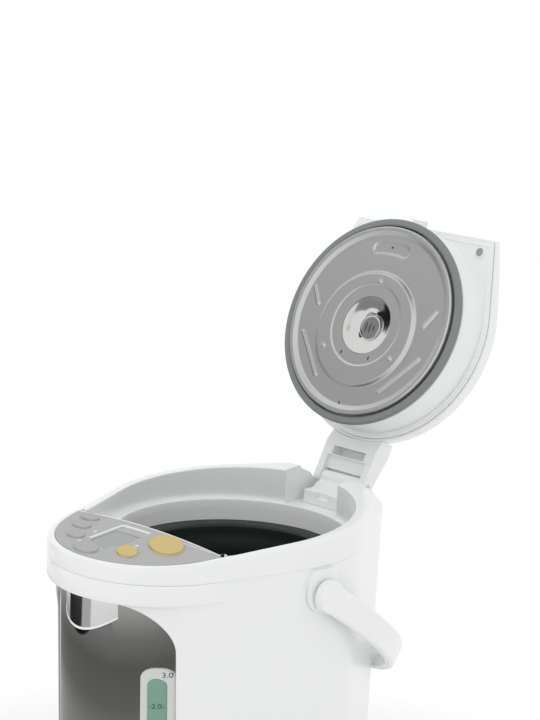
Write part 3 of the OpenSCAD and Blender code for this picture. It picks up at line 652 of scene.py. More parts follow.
def rounded(
    profile: list[tuple[float, float]],
    radius: float | list[float],
    steps: int = 5,
    loop: bool = False,
) -> Array:
    """A polyline with its corners rounded by arcs.

    Each corner is replaced by a quadratic curve between the points that lie the radius
    away from it on its two sides: (1-t)^2 a + 2t(1-t) c + t^2 b.

    Args:
        profile: The corners.
        radius: One radius, or one for each corner.
        steps: Points per corner.
        loop: True where the line closes on itself.

    Returns:
        The points of the rounded line.
    """
    corners = np.array(profile, float)
    count = len(corners)
    radii = np.broadcast_to(np.array(radius, float), count)
    part = np.linspace(0, 1, steps)[:, None]
    made = []
    for i, corner in enumerate(corners):
        if radii[i] <= 0 or (not loop and i in (0, count - 1)):
            made.append(corner[None])
            continue
        ends = []
        for other in (corners[i - 1], corners[(i + 1) % count]):
            way = other - corner
            length = np.linalg.norm(way)
            ends.append(corner + way / length * min(radii[i], length * 0.49))
        first, last = ends
        made.append(
            (1 - part) ** 2 * first + 2 * part * (1 - part) * corner + part**2 * last
        )
    return np.concatenate(made)


def rounded_box(
    half_w: float, half_h: float, corner: float, steps: int = 10, side: int = 12
) -> Array:
    """A rounded rectangle about the origin, anticlockwise.

    Each corner is an arc of the given radius and each side is split evenly, so that two
    of them with the same counts match point by point.

    Args:
        half_w: Half width.
        half_h: Half height.
        corner: Radius of the corners.
        steps: Points on each arc.
        side: Points added along each side.

    Returns:
        The points (u, v).
    """
    arcs = []
    for number, (su, sv) in enumerate([(1, 1), (-1, 1), (-1, -1), (1, -1)]):
        angle = (number + np.linspace(0, 1, steps)) * np.pi / 2
        u = su * (half_w - corner) + corner * np.cos(angle)
        v = sv * (half_h - corner) + corner * np.sin(angle)
        arcs.append(np.column_stack([u, v]))
    made = []
    for arc, following in zip(arcs, arcs[1:] + arcs[:1]):
        part = np.linspace(0, 1, side + 2)[1:-1, None]
        made += [arc, arc[-1] * (1 - part) + following[0] * part]
    return np.concatenate(made)


# ------------------------------------------------------------------ plan outlines

CENTRE_Y = -2.5
COLUMNS = 720
THETA = np.arange(COLUMNS) * TURN / COLUMNS


class Outline:
    """The hull of some discs, as a polar radius about (0, CENTRE_Y).

    The tangent line whose normal points at angle p is h(p) = max(c . n + r) from the
    centre, so the radius in direction t is the least h(p) / cos(t - p). Taking an inset
    from h moves every side in by the same distance.
    """

    def __init__(self, discs: list[Point]) -> None:
        """Works out h for 1440 normals.

        Args:
            discs: Each disc as (x, y, radius).
        """
        normal = np.linspace(-np.pi, np.pi, 1441)[:-1]
        across, along, radius = np.array(discs, float).T[:, :, None]
        reach = across * np.cos(normal) + (along - CENTRE_Y) * np.sin(normal)
        self.support = (reach + radius).max(0)
        facing = np.cos(THETA[:, None] - normal[None, :])
        self.open = facing > 0.05
        self.facing = np.where(self.open, facing, 1.0)

    def radius(self, inset: float = 0.0) -> Array:
        """The polar radius at every THETA, moved in by inset."""
        reach = (self.support - inset)[None, :] / self.facing
        return np.where(self.open, reach, np.inf).min(1)


def y_of(radius: Array) -> Array:
    """Y of the points at a polar radius."""
    return CENTRE_Y + radius * np.sin(THETA)


def x_of(radius: Array) -> Array:
    """X of the points at a polar radius."""
    return radius * np.cos(THETA)


def behind(radius: Array, chord: float) -> Array:
    """The polar radius, cut short where it would pass in front of a line along X.

    Args:
        radius: The polar radius at every THETA.
        chord: The line's y.

    Returns:
        The shortened radius.
    """
    sine = np.sin(THETA)
    limit = np.where(sine < -1e-6, (chord - CENTRE_Y) / np.minimum(sine, -1e-6), np.inf)
    return np.minimum(radius, limit)


def disc_radius(radius: float) -> Array:
    """The polar radius, about CENTRE_Y, of a circle round the origin."""
    return Outline([(0, 0, radius)]).radius()


def place_polar(radius: Array, height: Array | float) -> Array:
    """Points (r cos t, CENTRE_Y + r sin t, z)."""
    return np.stack([x_of(radius), y_of(radius), height * np.ones(COLUMNS)], -1)


def loft(rows: Rows) -> Array:
    """A grid of points from rows of (polar radius, height)."""
    return np.array([place_polar(radius, height) for radius, height in rows])


@dataclass(frozen=True)
class Build:
    """The driving sizes that all sub-assemblies share, as in the part's source."""

    main_r: float = 105.0
    nose_y: float = -81.0
    nose_r: float = 82.7
    front_y: float = -74.0
    front_r: float = 81.9
    rear_x: float = 32.0
    rear_y: float = 114.0
    rear_r: float = 18.0
    step: float = 0.4
    taper: float = 5.0
    wall: float = 3.0
    body_z: float = 12.3
    hood_z: float = 246.0
    seam_z: float = 262.6
    rim_z: float = 284.9
    slope: float = 0.076
    band: float = 8.4
    chord_y: float = -92.0
    ledge_z: float = 264.0
    mouth_z: float = 246.7
    mouth_r: float = 76.9
    funnel_r: float = 90.5
    panel_peak: float = 284.0
    panel_tilt: float = 6.85
    crown_r: float = 713.0
    panel_inset: float = 5.6
    pivot_y: float = -11.0
    pivot_z: float = 241.0
    hinge_y: float = 128.5
    hinge_z: float = 281.7
    lid_open: float = 114.55

    def lean(self, z: float | Array) -> float | Array:
        """How far the wall has come in at a height."""
        return self.taper * (self.seam_z - z) / (self.seam_z - self.body_z)

    def rim_at(self, y: Array) -> Array:
        """Height of the sloping rim."""
        return self.rim_z + self.slope * y

    def panel_at(self, x: Array, y: Array) -> Array:
        """Height of the crowned panel: a cylinder along Y, tilted down to the front.

        Args:
            x: Places across.
            y: Places along.

        Returns:
            The heights.
        """
        fall = math.tan(math.radians(self.panel_tilt)) * (y - self.chord_y)
        crown = self.crown_r - np.sqrt(self.crown_r**2 - np.asarray(x) ** 2)
        return self.panel_peak + fall - crown

    def round_head(self) -> list[Point]:
        """The discs of the head without its rear corners."""
        return [(0, CENTRE_Y, self.main_r), (0, self.nose_y, self.nose_r)]

    def rear(self, cut: float = 0.0) -> list[Point]:
        """The discs of the rear corners, drawn in by a cut."""
        return [(side * self.rear_x, self.rear_y - cut, self.rear_r) for side in (-1, 1)]

    def head(self, cut: float = 0.0) -> Outline:
        """The outline with the nose; cut draws the rear corners in."""
        return Outline(self.round_head() + self.rear(cut))

    def lower(self) -> Outline:
        """The outline of the body under the nose."""
        front = (0, self.front_y, self.front_r)
        return Outline([(0, CENTRE_Y, self.main_r), front, *self.rear()])

    def front_point(self, x: Array, z: Array, out: float | Array) -> Array:
        """A point out from the shell's leaning front: y = front_y - sqrt(r^2 - x^2).

        Args:
            x: Place across.
            z: Height.
            out: Distance out from the shell's outer face; inside is negative.

        Returns:
            The points (x, y, z).
        """
        radius = self.front_r - self.step - self.lean(z) + out
        y = self.front_y - np.sqrt(np.maximum(radius**2 - x**2, 0))
        return np.stack(np.broadcast_arrays(x, y, z), -1).astype(float)

    def opened(self, piece: bpy.types.Object) -> bpy.types.Object:
        """Turns a piece that was drawn on the shut lid to the open lid's place.

        Args:
            piece: The piece, at the origin.

        Returns:
            The same piece, with its mesh turned.
        """
        turn = Matrix.Rotation(math.radians(-self.lid_open), 4, "X")
        hinge = Matrix.Translation(Vector((0, self.hinge_y, self.hinge_z)) * MM)
        piece.data.transform(hinge @ turn @ hinge.inverted())
        return piece


# ------------------------------------------------------------------ sub-assemblies


@dataclass
class Body:
    """The white shell with its nose, and the rolled edge of its window."""

    size: Build
    window_half: float = 63.5
    window_r: float = 35.0
    window_low: float = 44.0
    window_top: float = 243.4
    lip: float = 2.4
    foot: float = 1.2
    hood_back: float = -84.0
    hood_front: float = -104.0
    hood_rise: float = 15.0
    cutter_y: tuple[float, float] = (-190.0, -60.0)

    def window(self, grow: float) -> Array:
        """The window's outline, grown by a distance.

        Args:
            grow: The distance.

        Returns:
            The points (x, z).
        """
        middle = (self.window_low + self.window_top) / 2
        half_h = (self.window_top - self.window_low) / 2
        plan = rounded_box(
            self.window_half + grow, half_h + grow, self.window_r + grow, steps=24, side=24
        )
        return plan + [0, middle]

    def shell_rows(self) -> Rows:
        """The outer face from the foot to the seam: the lower outline, hooded at the front.

        Returns:
            The rows of (polar radius, height).
        """
        size = self.size
        low, head = size.lower(), size.head()
        hood = 1 - smoothstep(self.hood_front, self.hood_back, y_of(head.radius()))
        foot_radius = low.radius(size.step + size.lean(size.body_z) + self.foot)
        rows = [(foot_radius, size.body_z)]
        for z in np.linspace(size.body_z + self.foot, size.hood_z, 40):
            rows.append((low.radius(size.step + size.lean(z)), z))
        hood_edge = [(0, 3.4), (0, 2.2), (0.5, 0.9), (1.5, 0.25), (3.2, 0), (9, 0), (15.8, 0)]
        top_edge = [(16.3, 0.1), (16.5, 0.35)]
        for rise, inset in hood_edge + top_edge:
            z = size.hood_z + rise
            above = inset if rise > self.hood_rise else 0
            plain = low.radius(size.step + size.lean(z) + above)
            rows.append((plain + (head.radius(inset) - plain) * hood, z))
        return rows

    def shell(self) -> None:
        """One closed loft of the outer and the inner face, with the window cut out."""
        size = self.size
        rows = self.shell_rows()
        last_radius, last_z = rows[-1]
        inner = [(r - size.wall, z) for r, z in reversed(rows) if z < size.hood_z + 1]
        ring = loft([*rows, (last_radius - size.wall, last_z), *inner])
        shell = mesh_object("body_shell_skin", [Grid(ring, True, True)], True, 30)
        plan = self.window(self.lip)
        flat = np.ones(len(plan))
        ends = [np.column_stack([plan[:, 0], flat * y, plan[:, 1]]) for y in self.cutter_y]
        caps = [np.broadcast_to(row.mean(0), row.shape) for row in ends]
        prism = Grid(np.array([caps[0], *ends, caps[1]]), False, True)
        carve(shell, [mesh_object("window_cutter", [prism], True, 30)], 30)
        fit(shell, Finish.white_gloss, "pot", "body_shell", "nose_hood")

    def window_edge(self) -> None:
        """The rolled edge of the window: rows that leave the face and turn inwards."""
        deep = -3.9
        profile = [
            (self.lip, 0), (1.4, 0), (0.6, -0.12), (0.15, -0.55), (0, -1.2), (0, deep),
            (self.lip, deep),
        ]
        rows = []
        for grow, out in profile:
            plan = self.window(grow)
            rows.append(self.size.front_point(plan[:, 0], plan[:, 1], out))
        edge = mesh_object("window_edge", [Grid(np.array(rows), True, True)], True, 50)
        fit(edge, Finish.white_gloss, "pot")

    def build(self) -> None:
        """Makes the shell and the window's edge."""
        self.shell()
        self.window_edge()


@dataclass
class Rim:
    """The collar: outer wall, rolled rim, recess, ledge and funnel as one closed loft.

    Every row is a polar radius and a height, and the rows never fold back, so that the
    hinge's channel can be cut out of the solid.
    """

    size: Build
    edge: float = 2.6
    roll: float = 0.9
    edge_cut: float = 18.0
    top_cut: float = 24.0
    outer_rise: float = 9.0
    web: float = 1.2
    seat_drop: tuple[float, float] = (1.2, 1.4)
    panel_depth: float = 3.2
    shoulder_drop: float = 3.0
    fillet: float = 0.6
    ledge_least: float = 0.8
    funnel_wall: float = 2.4
    blend_half: float = 3.0
    crest_blend: tuple[float, float] = (-4.0, 14.0)
    channel_half: float = 27.8
    saddle_drop: float = 8.7

    def __post_init__(self) -> None:
        """Works out the outlines that several rows share."""
        size = self.size
        self.head, self.top = size.head(), size.head(self.top_cut)
        self.shoulder = size.head(self.edge_cut).radius()
        self.recess = Outline(size.round_head()).radius(size.band)
        half = self.blend_half
        y = y_of(self.head.radius())
        self.front = 1 - smoothstep(size.chord_y - half, size.chord_y + half, y)

    def crest(self, radius: Array) -> Array:
        """Height of the rim's top: the sloping rim, and the crown beside the panel.

        Args:
            radius: The polar radius at every THETA.

        Returns:
            The heights.
        """
        size, y = self.size, y_of(radius)
        first, last = (size.chord_y + way for way in self.crest_blend)
        front = 1 - smoothstep(first, last, y)
        return size.rim_at(y) * (1 - front) + size.panel_at(x_of(radius), y) * front

    def outside(self) -> Rows:
        """The outer wall and the rolled edges of the rim, up to its top and over it.

        Returns:
            The rows of (polar radius, height).
        """
        size, low = self.size, self.size.seam_z
        wall = self.head.radius()
        rows: Rows = [(self.head.radius(0.35), low + 0.05), (self.head.radius(0.1), low + 0.25)]
        rows += [(wall, low + rise) for rise in (0.8, 6, self.outer_rise)]
        below_crest = self.crest(self.shoulder) - self.shoulder_drop
        for part in (0.35, 0.7):
            height = (low + self.outer_rise) * (1 - part) + below_crest * part
            rows.append((wall * (1 - part) + self.shoulder * part, height))
        for angle in np.radians([0, 18, 36, 54, 72, 90]):
            radius = self.top.radius(self.edge * (1 - math.cos(angle)))
            rows.append((radius, self.crest(radius) - self.edge * (1 - math.sin(angle))))
        beside_panel = self.top.radius(size.panel_inset - 0.1)
        self.inner = self.recess * (1 - self.front) + beside_panel * self.front
        for angle in np.radians([0, 30, 60, 90]):
            radius = self.inner + self.roll * (1 - math.sin(angle))
            rows.append((radius, self.crest(radius) - self.roll * (1 - math.cos(angle))))
        return rows

    def sill(self) -> Rows:
        """The seat of the panel and the thin web between the panel and the recess.

        Returns:
            The rows of (polar radius, height).
        """
        size, front = self.size, self.front
        web = behind(self.recess, size.chord_y)
        rows: Rows = []
        seats = ((self.inner, self.inner), (np.minimum(self.inner, web + 0.01), web))
        for (radius, edge), drop in zip(seats, self.seat_drop):
            rows.append((radius, self.crest(edge) - (drop + (self.panel_depth - drop) * front)))
        panel = size.panel_at(x_of(web), y_of(web))
        for shift, drop in ((0.0, 0.5), (0.25, 0.1), (0.6, 0.0), (0.95, 0.1), (1.0, 0.5)):
            radius = web + (self.recess_wall() - web) * shift
            plain = self.crest(radius) - 1.6 - shift
            rows.append((radius, plain * (1 - front) + (panel + 0.25 - drop) * front))
        return rows

    def recess_wall(self) -> Array:
        """The polar radius of the recess, behind the web."""
        return behind(self.recess, self.size.chord_y + self.web)

    def inside(self, start: Array) -> Rows:
        """The recess's wall, the ledge and the funnel, and the way back to the seam.

        Args:
            start: Height of the wall's top at every THETA.

        Returns:
            The rows of (polar radius, height).
        """
        size, wall, fillet = self.size, self.recess_wall(), self.fillet
        rows: Rows = []
        for part in np.linspace(0.15, 0.96, 8):
            rows.append((wall, start + (size.ledge_z + fillet - start) * part))
        corner = wall - fillet
        funnel = np.minimum(disc_radius(size.funnel_r), wall - self.ledge_least)
        for part, drop in ((1, 0), (0.5, 0), (0.12, 0.05), (0.04, 0.3), (0, 1)):
            rows.append((funnel + (corner - funnel) * part, size.ledge_z - drop))
        low = size.mouth_z + 0.1
        rows += [
            (funnel, (size.ledge_z + size.mouth_z) / 2),
            (funnel, low),
            (funnel + self.funnel_wall, low),
            (funnel + self.funnel_wall, size.seam_z - 2),
        ]
        return rows

    def build(self) -> None:
        """Joins the rows to a ring and cuts the hinge's channel out of it."""
        size, half = self.size, self.channel_half
        rows = self.outside() + self.sill()
        rows += self.inside(rows[-1][1])
        collar = mesh_object("collar_rim", [Grid(loft(rows), True, True)], True, 32)
        saddle_z = size.hinge_z - self.saddle_drop
        cutters = [
            box_solid("channel_cutter", (-half, 60, size.ledge_z), (half, 128, 340)),
            box_solid("rear_cutter", (-half, 70, saddle_z), (half, 160, 341)),
        ]
        carve(collar, cutters, 32)
        fit(collar, Finish.white_gloss, "pot", "collar")


@dataclass
class Bosses:
    """Raised round-ended plates on both sides: a stadium laid on the body's cylinder."""

    size: Build
    half_w: float = 14.0
    half_h: float = 19.0
    lift: float = 5.5
    proud: float = 3.0
    seam_gap: float = 1.2

    def build(self) -> None:
        """Makes both plates, each as rows that rise from the wall and close in the middle."""
        size = self.size
        middle = np.array([size.pivot_y, size.pivot_z + self.lift])
        plan = rounded_box(self.half_w, self.half_h, self.half_w - 0.1, steps=16, side=8)
        edge = ((1.0, -0.6), (1.0, 1.6), (0.985, 2.4), (0.95, 2.85))
        face = tuple((spread, self.proud) for spread in (0.9, 0.6, 0.3, 0.0))
        grids = []
        for side in (-1, 1):
            rows = []
            for spread, out in edge + face:
                flat = middle + plan * spread
                x = np.sqrt((size.main_r + out) ** 2 - (flat[:, 0] - CENTRE_Y) ** 2)
                height = np.minimum(flat[:, 1], size.seam_z - self.seam_gap)
                rows.append(np.column_stack([side * x, flat[:, 0], height]))
            grids.append(Grid(np.array(rows), False, True))
        pads = mesh_object("side_boss_pads", grids, True, 40)
        fit(pads, Finish.white_gloss, "pot", "side_bosses")


@dataclass
class Front:
    """The mirrored window, the spout under the nose and the level gauge."""

    size: Build
    mirror_in: float = -3.3
    mirror_thick: float = 2.2
    mirror_half: float = 66.4
    mirror_low: float = 38.0
    mirror_top: float = 245.3
    shroud_r: float = 34.7
    shroud_y: float = -125.3
    shroud_half: float = 27.4
    shroud_low: float = 220.0
    shroud_wall: float = 2.0
    shroud_sweep: float = 11.5
    shroud_gap: float = 0.15
    lip: float = 2.1
    gauge_x: float = 53.5
    gauge_half: float = 9.4
    gauge_low: float = 80.0
    gauge_top: float = 197.0
    pane_half: float = 5.5
    pane_margin: float = 8.0
    pane_corner: float = 5.3
    narrow: float = 0.86
    top_figure: tuple[float, float] = (59.3, 190.3)
    level_figure: tuple[float, float] = (53.5, 165.8)

    def mirror(self) -> None:
        """A leaning cylindrical skin behind the window, with its rear face."""
        x = np.linspace(-self.mirror_half, self.mirror_half, 97)[None, :]
        z = np.linspace(self.mirror_low, self.mirror_top, 60)[:, None]
        face = self.size.front_point(x, z, self.mirror_in)
        back = self.size.front_point(x, z, self.mirror_in - self.mirror_thick)
        skin = mesh_object("front_mirror_skin", slab(face, back), True, 40)
        fit(skin, Finish.mirror_front, "pot", "front_mirror")

    def shroud(self) -> None:
        """The chrome scoop and its white lip.

        The scoop is a round wall (r sin a, y - r cos a) between the lip and the nose. Its
        lower edge rises with the square of the place across.
        """
        across = np.linspace(-1, 1, 121) * math.asin(self.shroud_half / self.shroud_r)
        sweep = (self.shroud_r * np.sin(across) / self.shroud_half) ** 2
        low = self.shroud_low + sweep * self.shroud_sweep
        part = np.linspace(0, 1, 24)[:, None]
        height = low + self.lip + (self.size.hood_z - self.shroud_gap - low - self.lip) * part

        def wall(radius: float, z: Array) -> Array:
            """The round wall's points at a radius and at heights."""
            x, y = radius * np.sin(across), self.shroud_y - radius * np.cos(across)
            return np.stack(np.broadcast_arrays(x, y, z), -1)

        faces = slab(wall(self.shroud_r, height), wall(self.shroud_r - self.shroud_wall, height))
        scoop = mesh_object("spout_scoop", faces, True, 40)
        fit(scoop, Finish.chrome, "pot", "spout_shroud")
        section = [(0.0, self.lip), (0.25, 0.0), (-2.2, 0.0), (-self.shroud_wall, self.lip)]
        line = rounded(section, 0.6, 4, loop=True)
        rows = np.array([wall(self.shroud_r + out, low + up) for out, up in line])
        tube = [Grid(rows, True, False), fan(rows[:, 0]), fan(rows[:, -1])]
        fit(mesh_object("spout_lip", tube, True, 50), Finish.white_gloss, "pot")

    def gauge(self) -> None:
        """The gauge's plate with its rounded window, the green pane and the figures."""
        half_h = (self.gauge_top - self.gauge_low) / 2
        pane_h = half_h - self.pane_margin
        middle = np.array([self.gauge_x, (self.gauge_top + self.gauge_low) / 2])

        def laid(plan: Array, out: float) -> Array:
            """Plan points about the gauge's middle, laid on the mirror."""
            plan = plan + middle
            return self.size.front_point(plan[:, 0], plan[:, 1], self.mirror_in + out)

        outer = ((0, 8, 0.0), (0, 8, 1.4), (0.25, 7.8, 1.8), (0.7, 7.4, 1.95))
        hole = ((-0.5, 5.6, 1.95), (-0.1, 5.4, 1.8), (0.0, 5.4, 1.4), (0.0, 5.4, 0.0))
        rows = []
        for half_w, tall, edges in (
            (self.gauge_half, half_h, outer), (self.pane_half, pane_h, hole)
        ):
            for inset, corner, out in edges:
                rows.append(laid(rounded_box(half_w - inset, tall - inset, corner), out))
        plate = mesh_object("gauge_plate", [Grid(np.array(rows), True, True)], True, 40)
        fit(plate, Finish.base_plastic, "pot", "gauge_frame")
        plan = rounded_box(self.pane_half, pane_h, self.pane_corner)
        crown = ((1.0, 0.2), (1.0, 1.0), (0.93, 1.25), (0.6, 1.4), (0.25, 1.45), (0.0, 1.45))
        rows = []
        for spread, out in crown:
            rows.append(laid(plan * [spread, 1 - (1 - spread) * self.pane_half / half_h], out))
        pane = mesh_object("gauge_pane", [Grid(np.array(rows), False, True)], False, 40)
        fit(pane, Finish.gauge_green, "pot", "gauge_window")
        self.figure("gauge_three", "3.0", 5.6, self.top_figure, 2.05)
        self.figure("gauge_two", "-2.0-", 5.4, self.level_figure, 1.55)

    def figure(
        self, name: str, words: str, height: float, at: tuple[float, float], out: float
    ) -> None:
        """A flat number, laid on the front's curve.

        Args:
            name: The piece's name.
            words: The number.
            height: Its letters' height.
            at: The middle of its foot (x, z).
            out: Distance out from the mirror.
        """
        curve = bpy.data.curves.new(name, "FONT")
        curve.body, curve.size, curve.align_x = words, height, "CENTER"
        curve.fill_mode = "FRONT"
        holder = linked(name, curve)
        graph = bpy.context.evaluated_depsgraph_get()
        mesh = bpy.data.meshes.new_from_object(holder.evaluated_get(graph))
        bpy.data.objects.remove(holder)
        flat = np.zeros(len(mesh.vertices) * 3)
        mesh.vertices.foreach_get("co", flat)
        flat = flat.reshape(-1, 3)
        x, z = at[0] + flat[:, 0] * self.narrow, at[1] + flat[:, 1]
        points = self.size.front_point(x, z, self.mirror_in + out) * MM
        mesh.vertices.foreach_set("co", points.astype(np.float32).ravel())
        mesh.update()
        fit(linked(name, mesh), Finish.print_dark, "pot")

    def build(self) -> None:
        """Makes all pieces of the front."""
        self.mirror()
        self.shroud()
        self.gauge()


@dataclass(frozen=True)
class Key:
    """One push key: its place, its half sizes, its turn and how far it stands out."""

    name: str
    node: str
    at: tuple[float, float]
    half: tuple[float, float]
    turn: float
    proud: float
    finish: Finish


@dataclass
class Panel:
    """The sloping key panel's keys and lamps, with white bands of painted highlight on two edges
    of the display and along the groove.
    """

    size: Build
    grey_turn: float = -14.0
    gold_turn: float = -28.0
    grey_proud: float = 1.2
    gold_proud: float = 0.7
    power: float = 2.3
    skirt: float = 2.0
    # Height over the panel of the painted highlight on two edges of the display.
    print_up: float = 0.14
    # Height over the panel of the painted highlight along the groove.
    groove_up: float = 0.1
    border_half: float = 1.8
    border_corner: float = 2.0
    groove_half: float = 0.45
    lamp_r: float = 1.5
    lamps: tuple[tuple[float, float], ...] = ((-27.5, -119.5), (-23.6, -139.0), (19.0, -121.5))

    def keys(self) -> list[Key]:
        """The six keys, by their places on the panel.

        Returns:
            The keys, grey ones first.
        """
        grey = (self.grey_turn, self.grey_proud, Finish.key_grey)
        gold = (self.gold_turn, self.gold_proud, Finish.key_gold)
        places = (
            ("timer", (-55.4, -99.4), (11.2, 5.2), grey),
            ("temperature", (-47.6, -115.0), (10.4, 5.2), grey),
            ("descale", (-35.4, -132.1), (9.6, 5.2), grey),
            ("reheat", (-8.4, -146.9), (12.6, 7.4), grey),
            ("unlock", (22.1, -133.8), (10.6, 7.2), gold),
            ("dispense", (36.1, -107.6), (17.4, 12.0), gold),
        )
        return [
            Key(f"{word}_cap", f"{word}_key", at, half, *look) for word, at, half, look in places
        ]

    def oval(self, half: tuple[float, float], turn: float, points: int = 96) -> Array:
        """A superellipse |u/a|^p + |v/b|^p = 1, turned by an angle.

        Args:
            half: Half sizes a and b.
            turn: The angle in degrees.
            points: Steps round it.

        Returns:
            The points (x, y).
        """
        angle = np.arange(points) * TURN / points
        cos, sin = np.cos(angle), np.sin(angle)
        u = half[0] * np.sign(cos) * np.abs(cos) ** (2 / self.power)
        v = half[1] * np.sign(sin) * np.abs(sin) ** (2 / self.power)
        c, s = math.cos(math.radians(turn)), math.sin(math.radians(turn))
        return np.column_stack([u * c - v * s, u * s + v * c])

    def on_panel(self, plan: Array, up: float) -> Array:
        """Plan points lifted to a height over the crowned panel."""
        return np.column_stack([plan, self.size.panel_at(plan[:, 0], plan[:, 1]) + up])

    def button(
        self,
        name: str,
        at: tuple[float, float],
        half: tuple[float, float],
        turn: float,
        rows: list[tuple[float, float]],
        top: float,
    ) -> bpy.types.Object:
        """An oval button on the panel, open below and closed in its middle.

        Args:
            name: The piece's name.
            at: Its middle (x, y).
            half: Its half sizes.
            turn: Its turn in degrees.
            rows: Distance in from the edge, and height over the panel.
            top: Height of its middle over the panel.

        Returns:
            The object.
        """
        made = []
        for inset, up in [*rows, (max(half), top)]:
            plan = self.oval((max(half[0] - inset, 0), max(half[1] - inset, 0)), turn) + at
            made.append(self.on_panel(plan, up))
        return mesh_object(name, [Grid(np.array(made), False, True)], False, 50)

    def cap(self, key: Key) -> None:
        """A key's cap: grey ones have a raised rim, gold ones a slightly domed face.

        Args:
            key: The key.
        """
        top, b = key.proud, key.half[1]
        edge = [(0.0, -self.skirt)]
        edge += [(0.0, top - 0.55), (0.12, top - 0.25), (0.35, top - 0.05), (0.6, top)]
        if key.finish is Finish.key_grey:
            face = [(0.95, top - 0.1), (1.2, top - 0.3), (1.5, top - 0.35), (b * 0.7, top - 0.3)]
            last = top - 0.28
        else:
            face = [(1.0, top + 0.03), (2.2, top + 0.1), (b * 0.6, top + 0.2)]
            last = top + 0.25
        rows = edge + face + [(b * 0.97, last)]
        cap = self.button(key.name, key.at, key.half, key.turn, rows, last)
        fit(cap, key.finish, key.node)

    def strip(self, name: str, line: Array, half: float, up: float) -> None:
        """A thin white band of painted highlight along a line of plan points.

        Args:
            name: The piece's name.
            line: The line's points (x, y).
            half: Half the band's width.
            up: Its height over the panel.
        """
        step = np.gradient(line, axis=0)
        side = np.column_stack([-step[:, 1], step[:, 0]])
        side /= np.linalg.norm(side, axis=1, keepdims=True)
        rows = [self.on_panel(line + side * offset, up) for offset in (-half, 0, half)]
        # The white mark finish serves here as painted highlight.
        fit(mesh_object(name, [Grid(np.array(rows))], False, 60), Finish.mark_white, "pot")

    def border(self) -> Array:
        """The line of painted highlight along two sides of the display, with a rounded corner.

        Returns:
            The points (x, y).
        """
        low, corner, far = np.array([[-20.9, -131.5], [-19.0, -99.6], [9.9, -99.4]])
        radius = self.border_corner
        line = [low + (corner - low) * t for t in np.linspace(0, 0.94, 24)]
        for t in np.linspace(0.06, 0.94, 8):
            angle = math.radians(180 - 90 * t)
            middle = corner + np.array([radius, -radius])
            line.append(middle + radius * np.array([math.cos(angle), math.sin(angle)]))
        line += [corner + (far - corner) * t for t in np.linspace(0.08, 1, 24)]
        return np.array(line)

    def build(self) -> None:
        """Makes the caps, the painted highlight on the display's edges, the lamps and the painted
        highlight along the groove.
        """
        for key in self.keys():
            self.cap(key)
        # Painted highlight on two edges of the display.
        self.strip("display_edge_highlight", self.border(), self.border_half, self.print_up)
        half, rows = (self.lamp_r, self.lamp_r), [(0, -0.4), (0, 0.1), (0.3, 0.25)]
        for number, spot in enumerate(self.lamps):
            lamp = self.button(f"lamp_dot_{number}", spot, half, 0, rows, 0.3)
            fit(lamp, Finish.mark_white, "pot")
        # Painted highlight along the groove by the panel's back edge.
        knots = np.array([[31.5, -96.6], [50, -95.4], [68.5, -93.4]])
        x = np.linspace(knots[0, 0], knots[-1, 0], 40)
        line = np.column_stack([x, np.interp(x, knots[:, 0], knots[:, 1])])
        self.strip("panel_groove_highlight", line, self.groove_half, self.groove_up)


@dataclass
class Vessel:
    """The dark-coated pot with its flange, and the level marks inside it."""

    size: Build
    wall_r: float = 75.0
    sheet: float = 1.0
    floor_z: float = 51.7
    flange_r: float = 91.8
    marks: tuple[float, ...] = (222.0, 205.0)
    mark_half: float = 0.5
    mark_arc: tuple[float, float] = (96.0, 112.0)

    def build(self) -> None:
        """Makes the liner as one closed lathe, and the marks as thin patches."""
        low, sheet, r = self.floor_z, self.sheet, self.wall_r
        mouth_r, mouth = self.size.mouth_r, self.size.mouth_z
        inside = [
            (0, low), (62, low), (71, low + 3), (r, low + 13), (r, 226.3), (75.6, 231),
            (mouth_r, 238.3), (mouth_r, mouth - 1.2), (78.3, mouth), (self.flange_r, mouth),
        ]
        outside = [
            (self.flange_r, mouth - 0.9), (79, mouth - 1), (mouth_r + sheet, mouth - 2.4),
            (mouth_r + sheet, 238), (r + sheet, 226), (r + sheet, low + 12), (72, low + 2),
            (62, low - sheet), (0, low - sheet),
        ]
        radii = [0, 5, 5, 4, 4, 2, 3, 1, 1.2, 0.3, 0.3, 1, 1, 3, 4, 4, 5, 5, 0]
        line = rounded(inside + outside, radii, 6)
        liner = mesh_object("pot_liner", [lathe(line, 256)], True, 40)
        fit(liner, Finish.pot_coating, "pot", "inner_pot")
        turn = np.radians(np.linspace(*self.mark_arc, 12))
        x, y = (r - 0.1) * np.cos(turn), (r - 0.1) * np.sin(turn)
        for number, z in enumerate(self.marks):
            edges = (z - self.mark_half, z + self.mark_half)
            rows = [np.column_stack([x, y, np.full(len(x), edge)]) for edge in edges]
            mark = mesh_object(f"level_mark_{number}", [Grid(np.array(rows))], False, 60)
            fit(mark, Finish.mark_white, "pot")


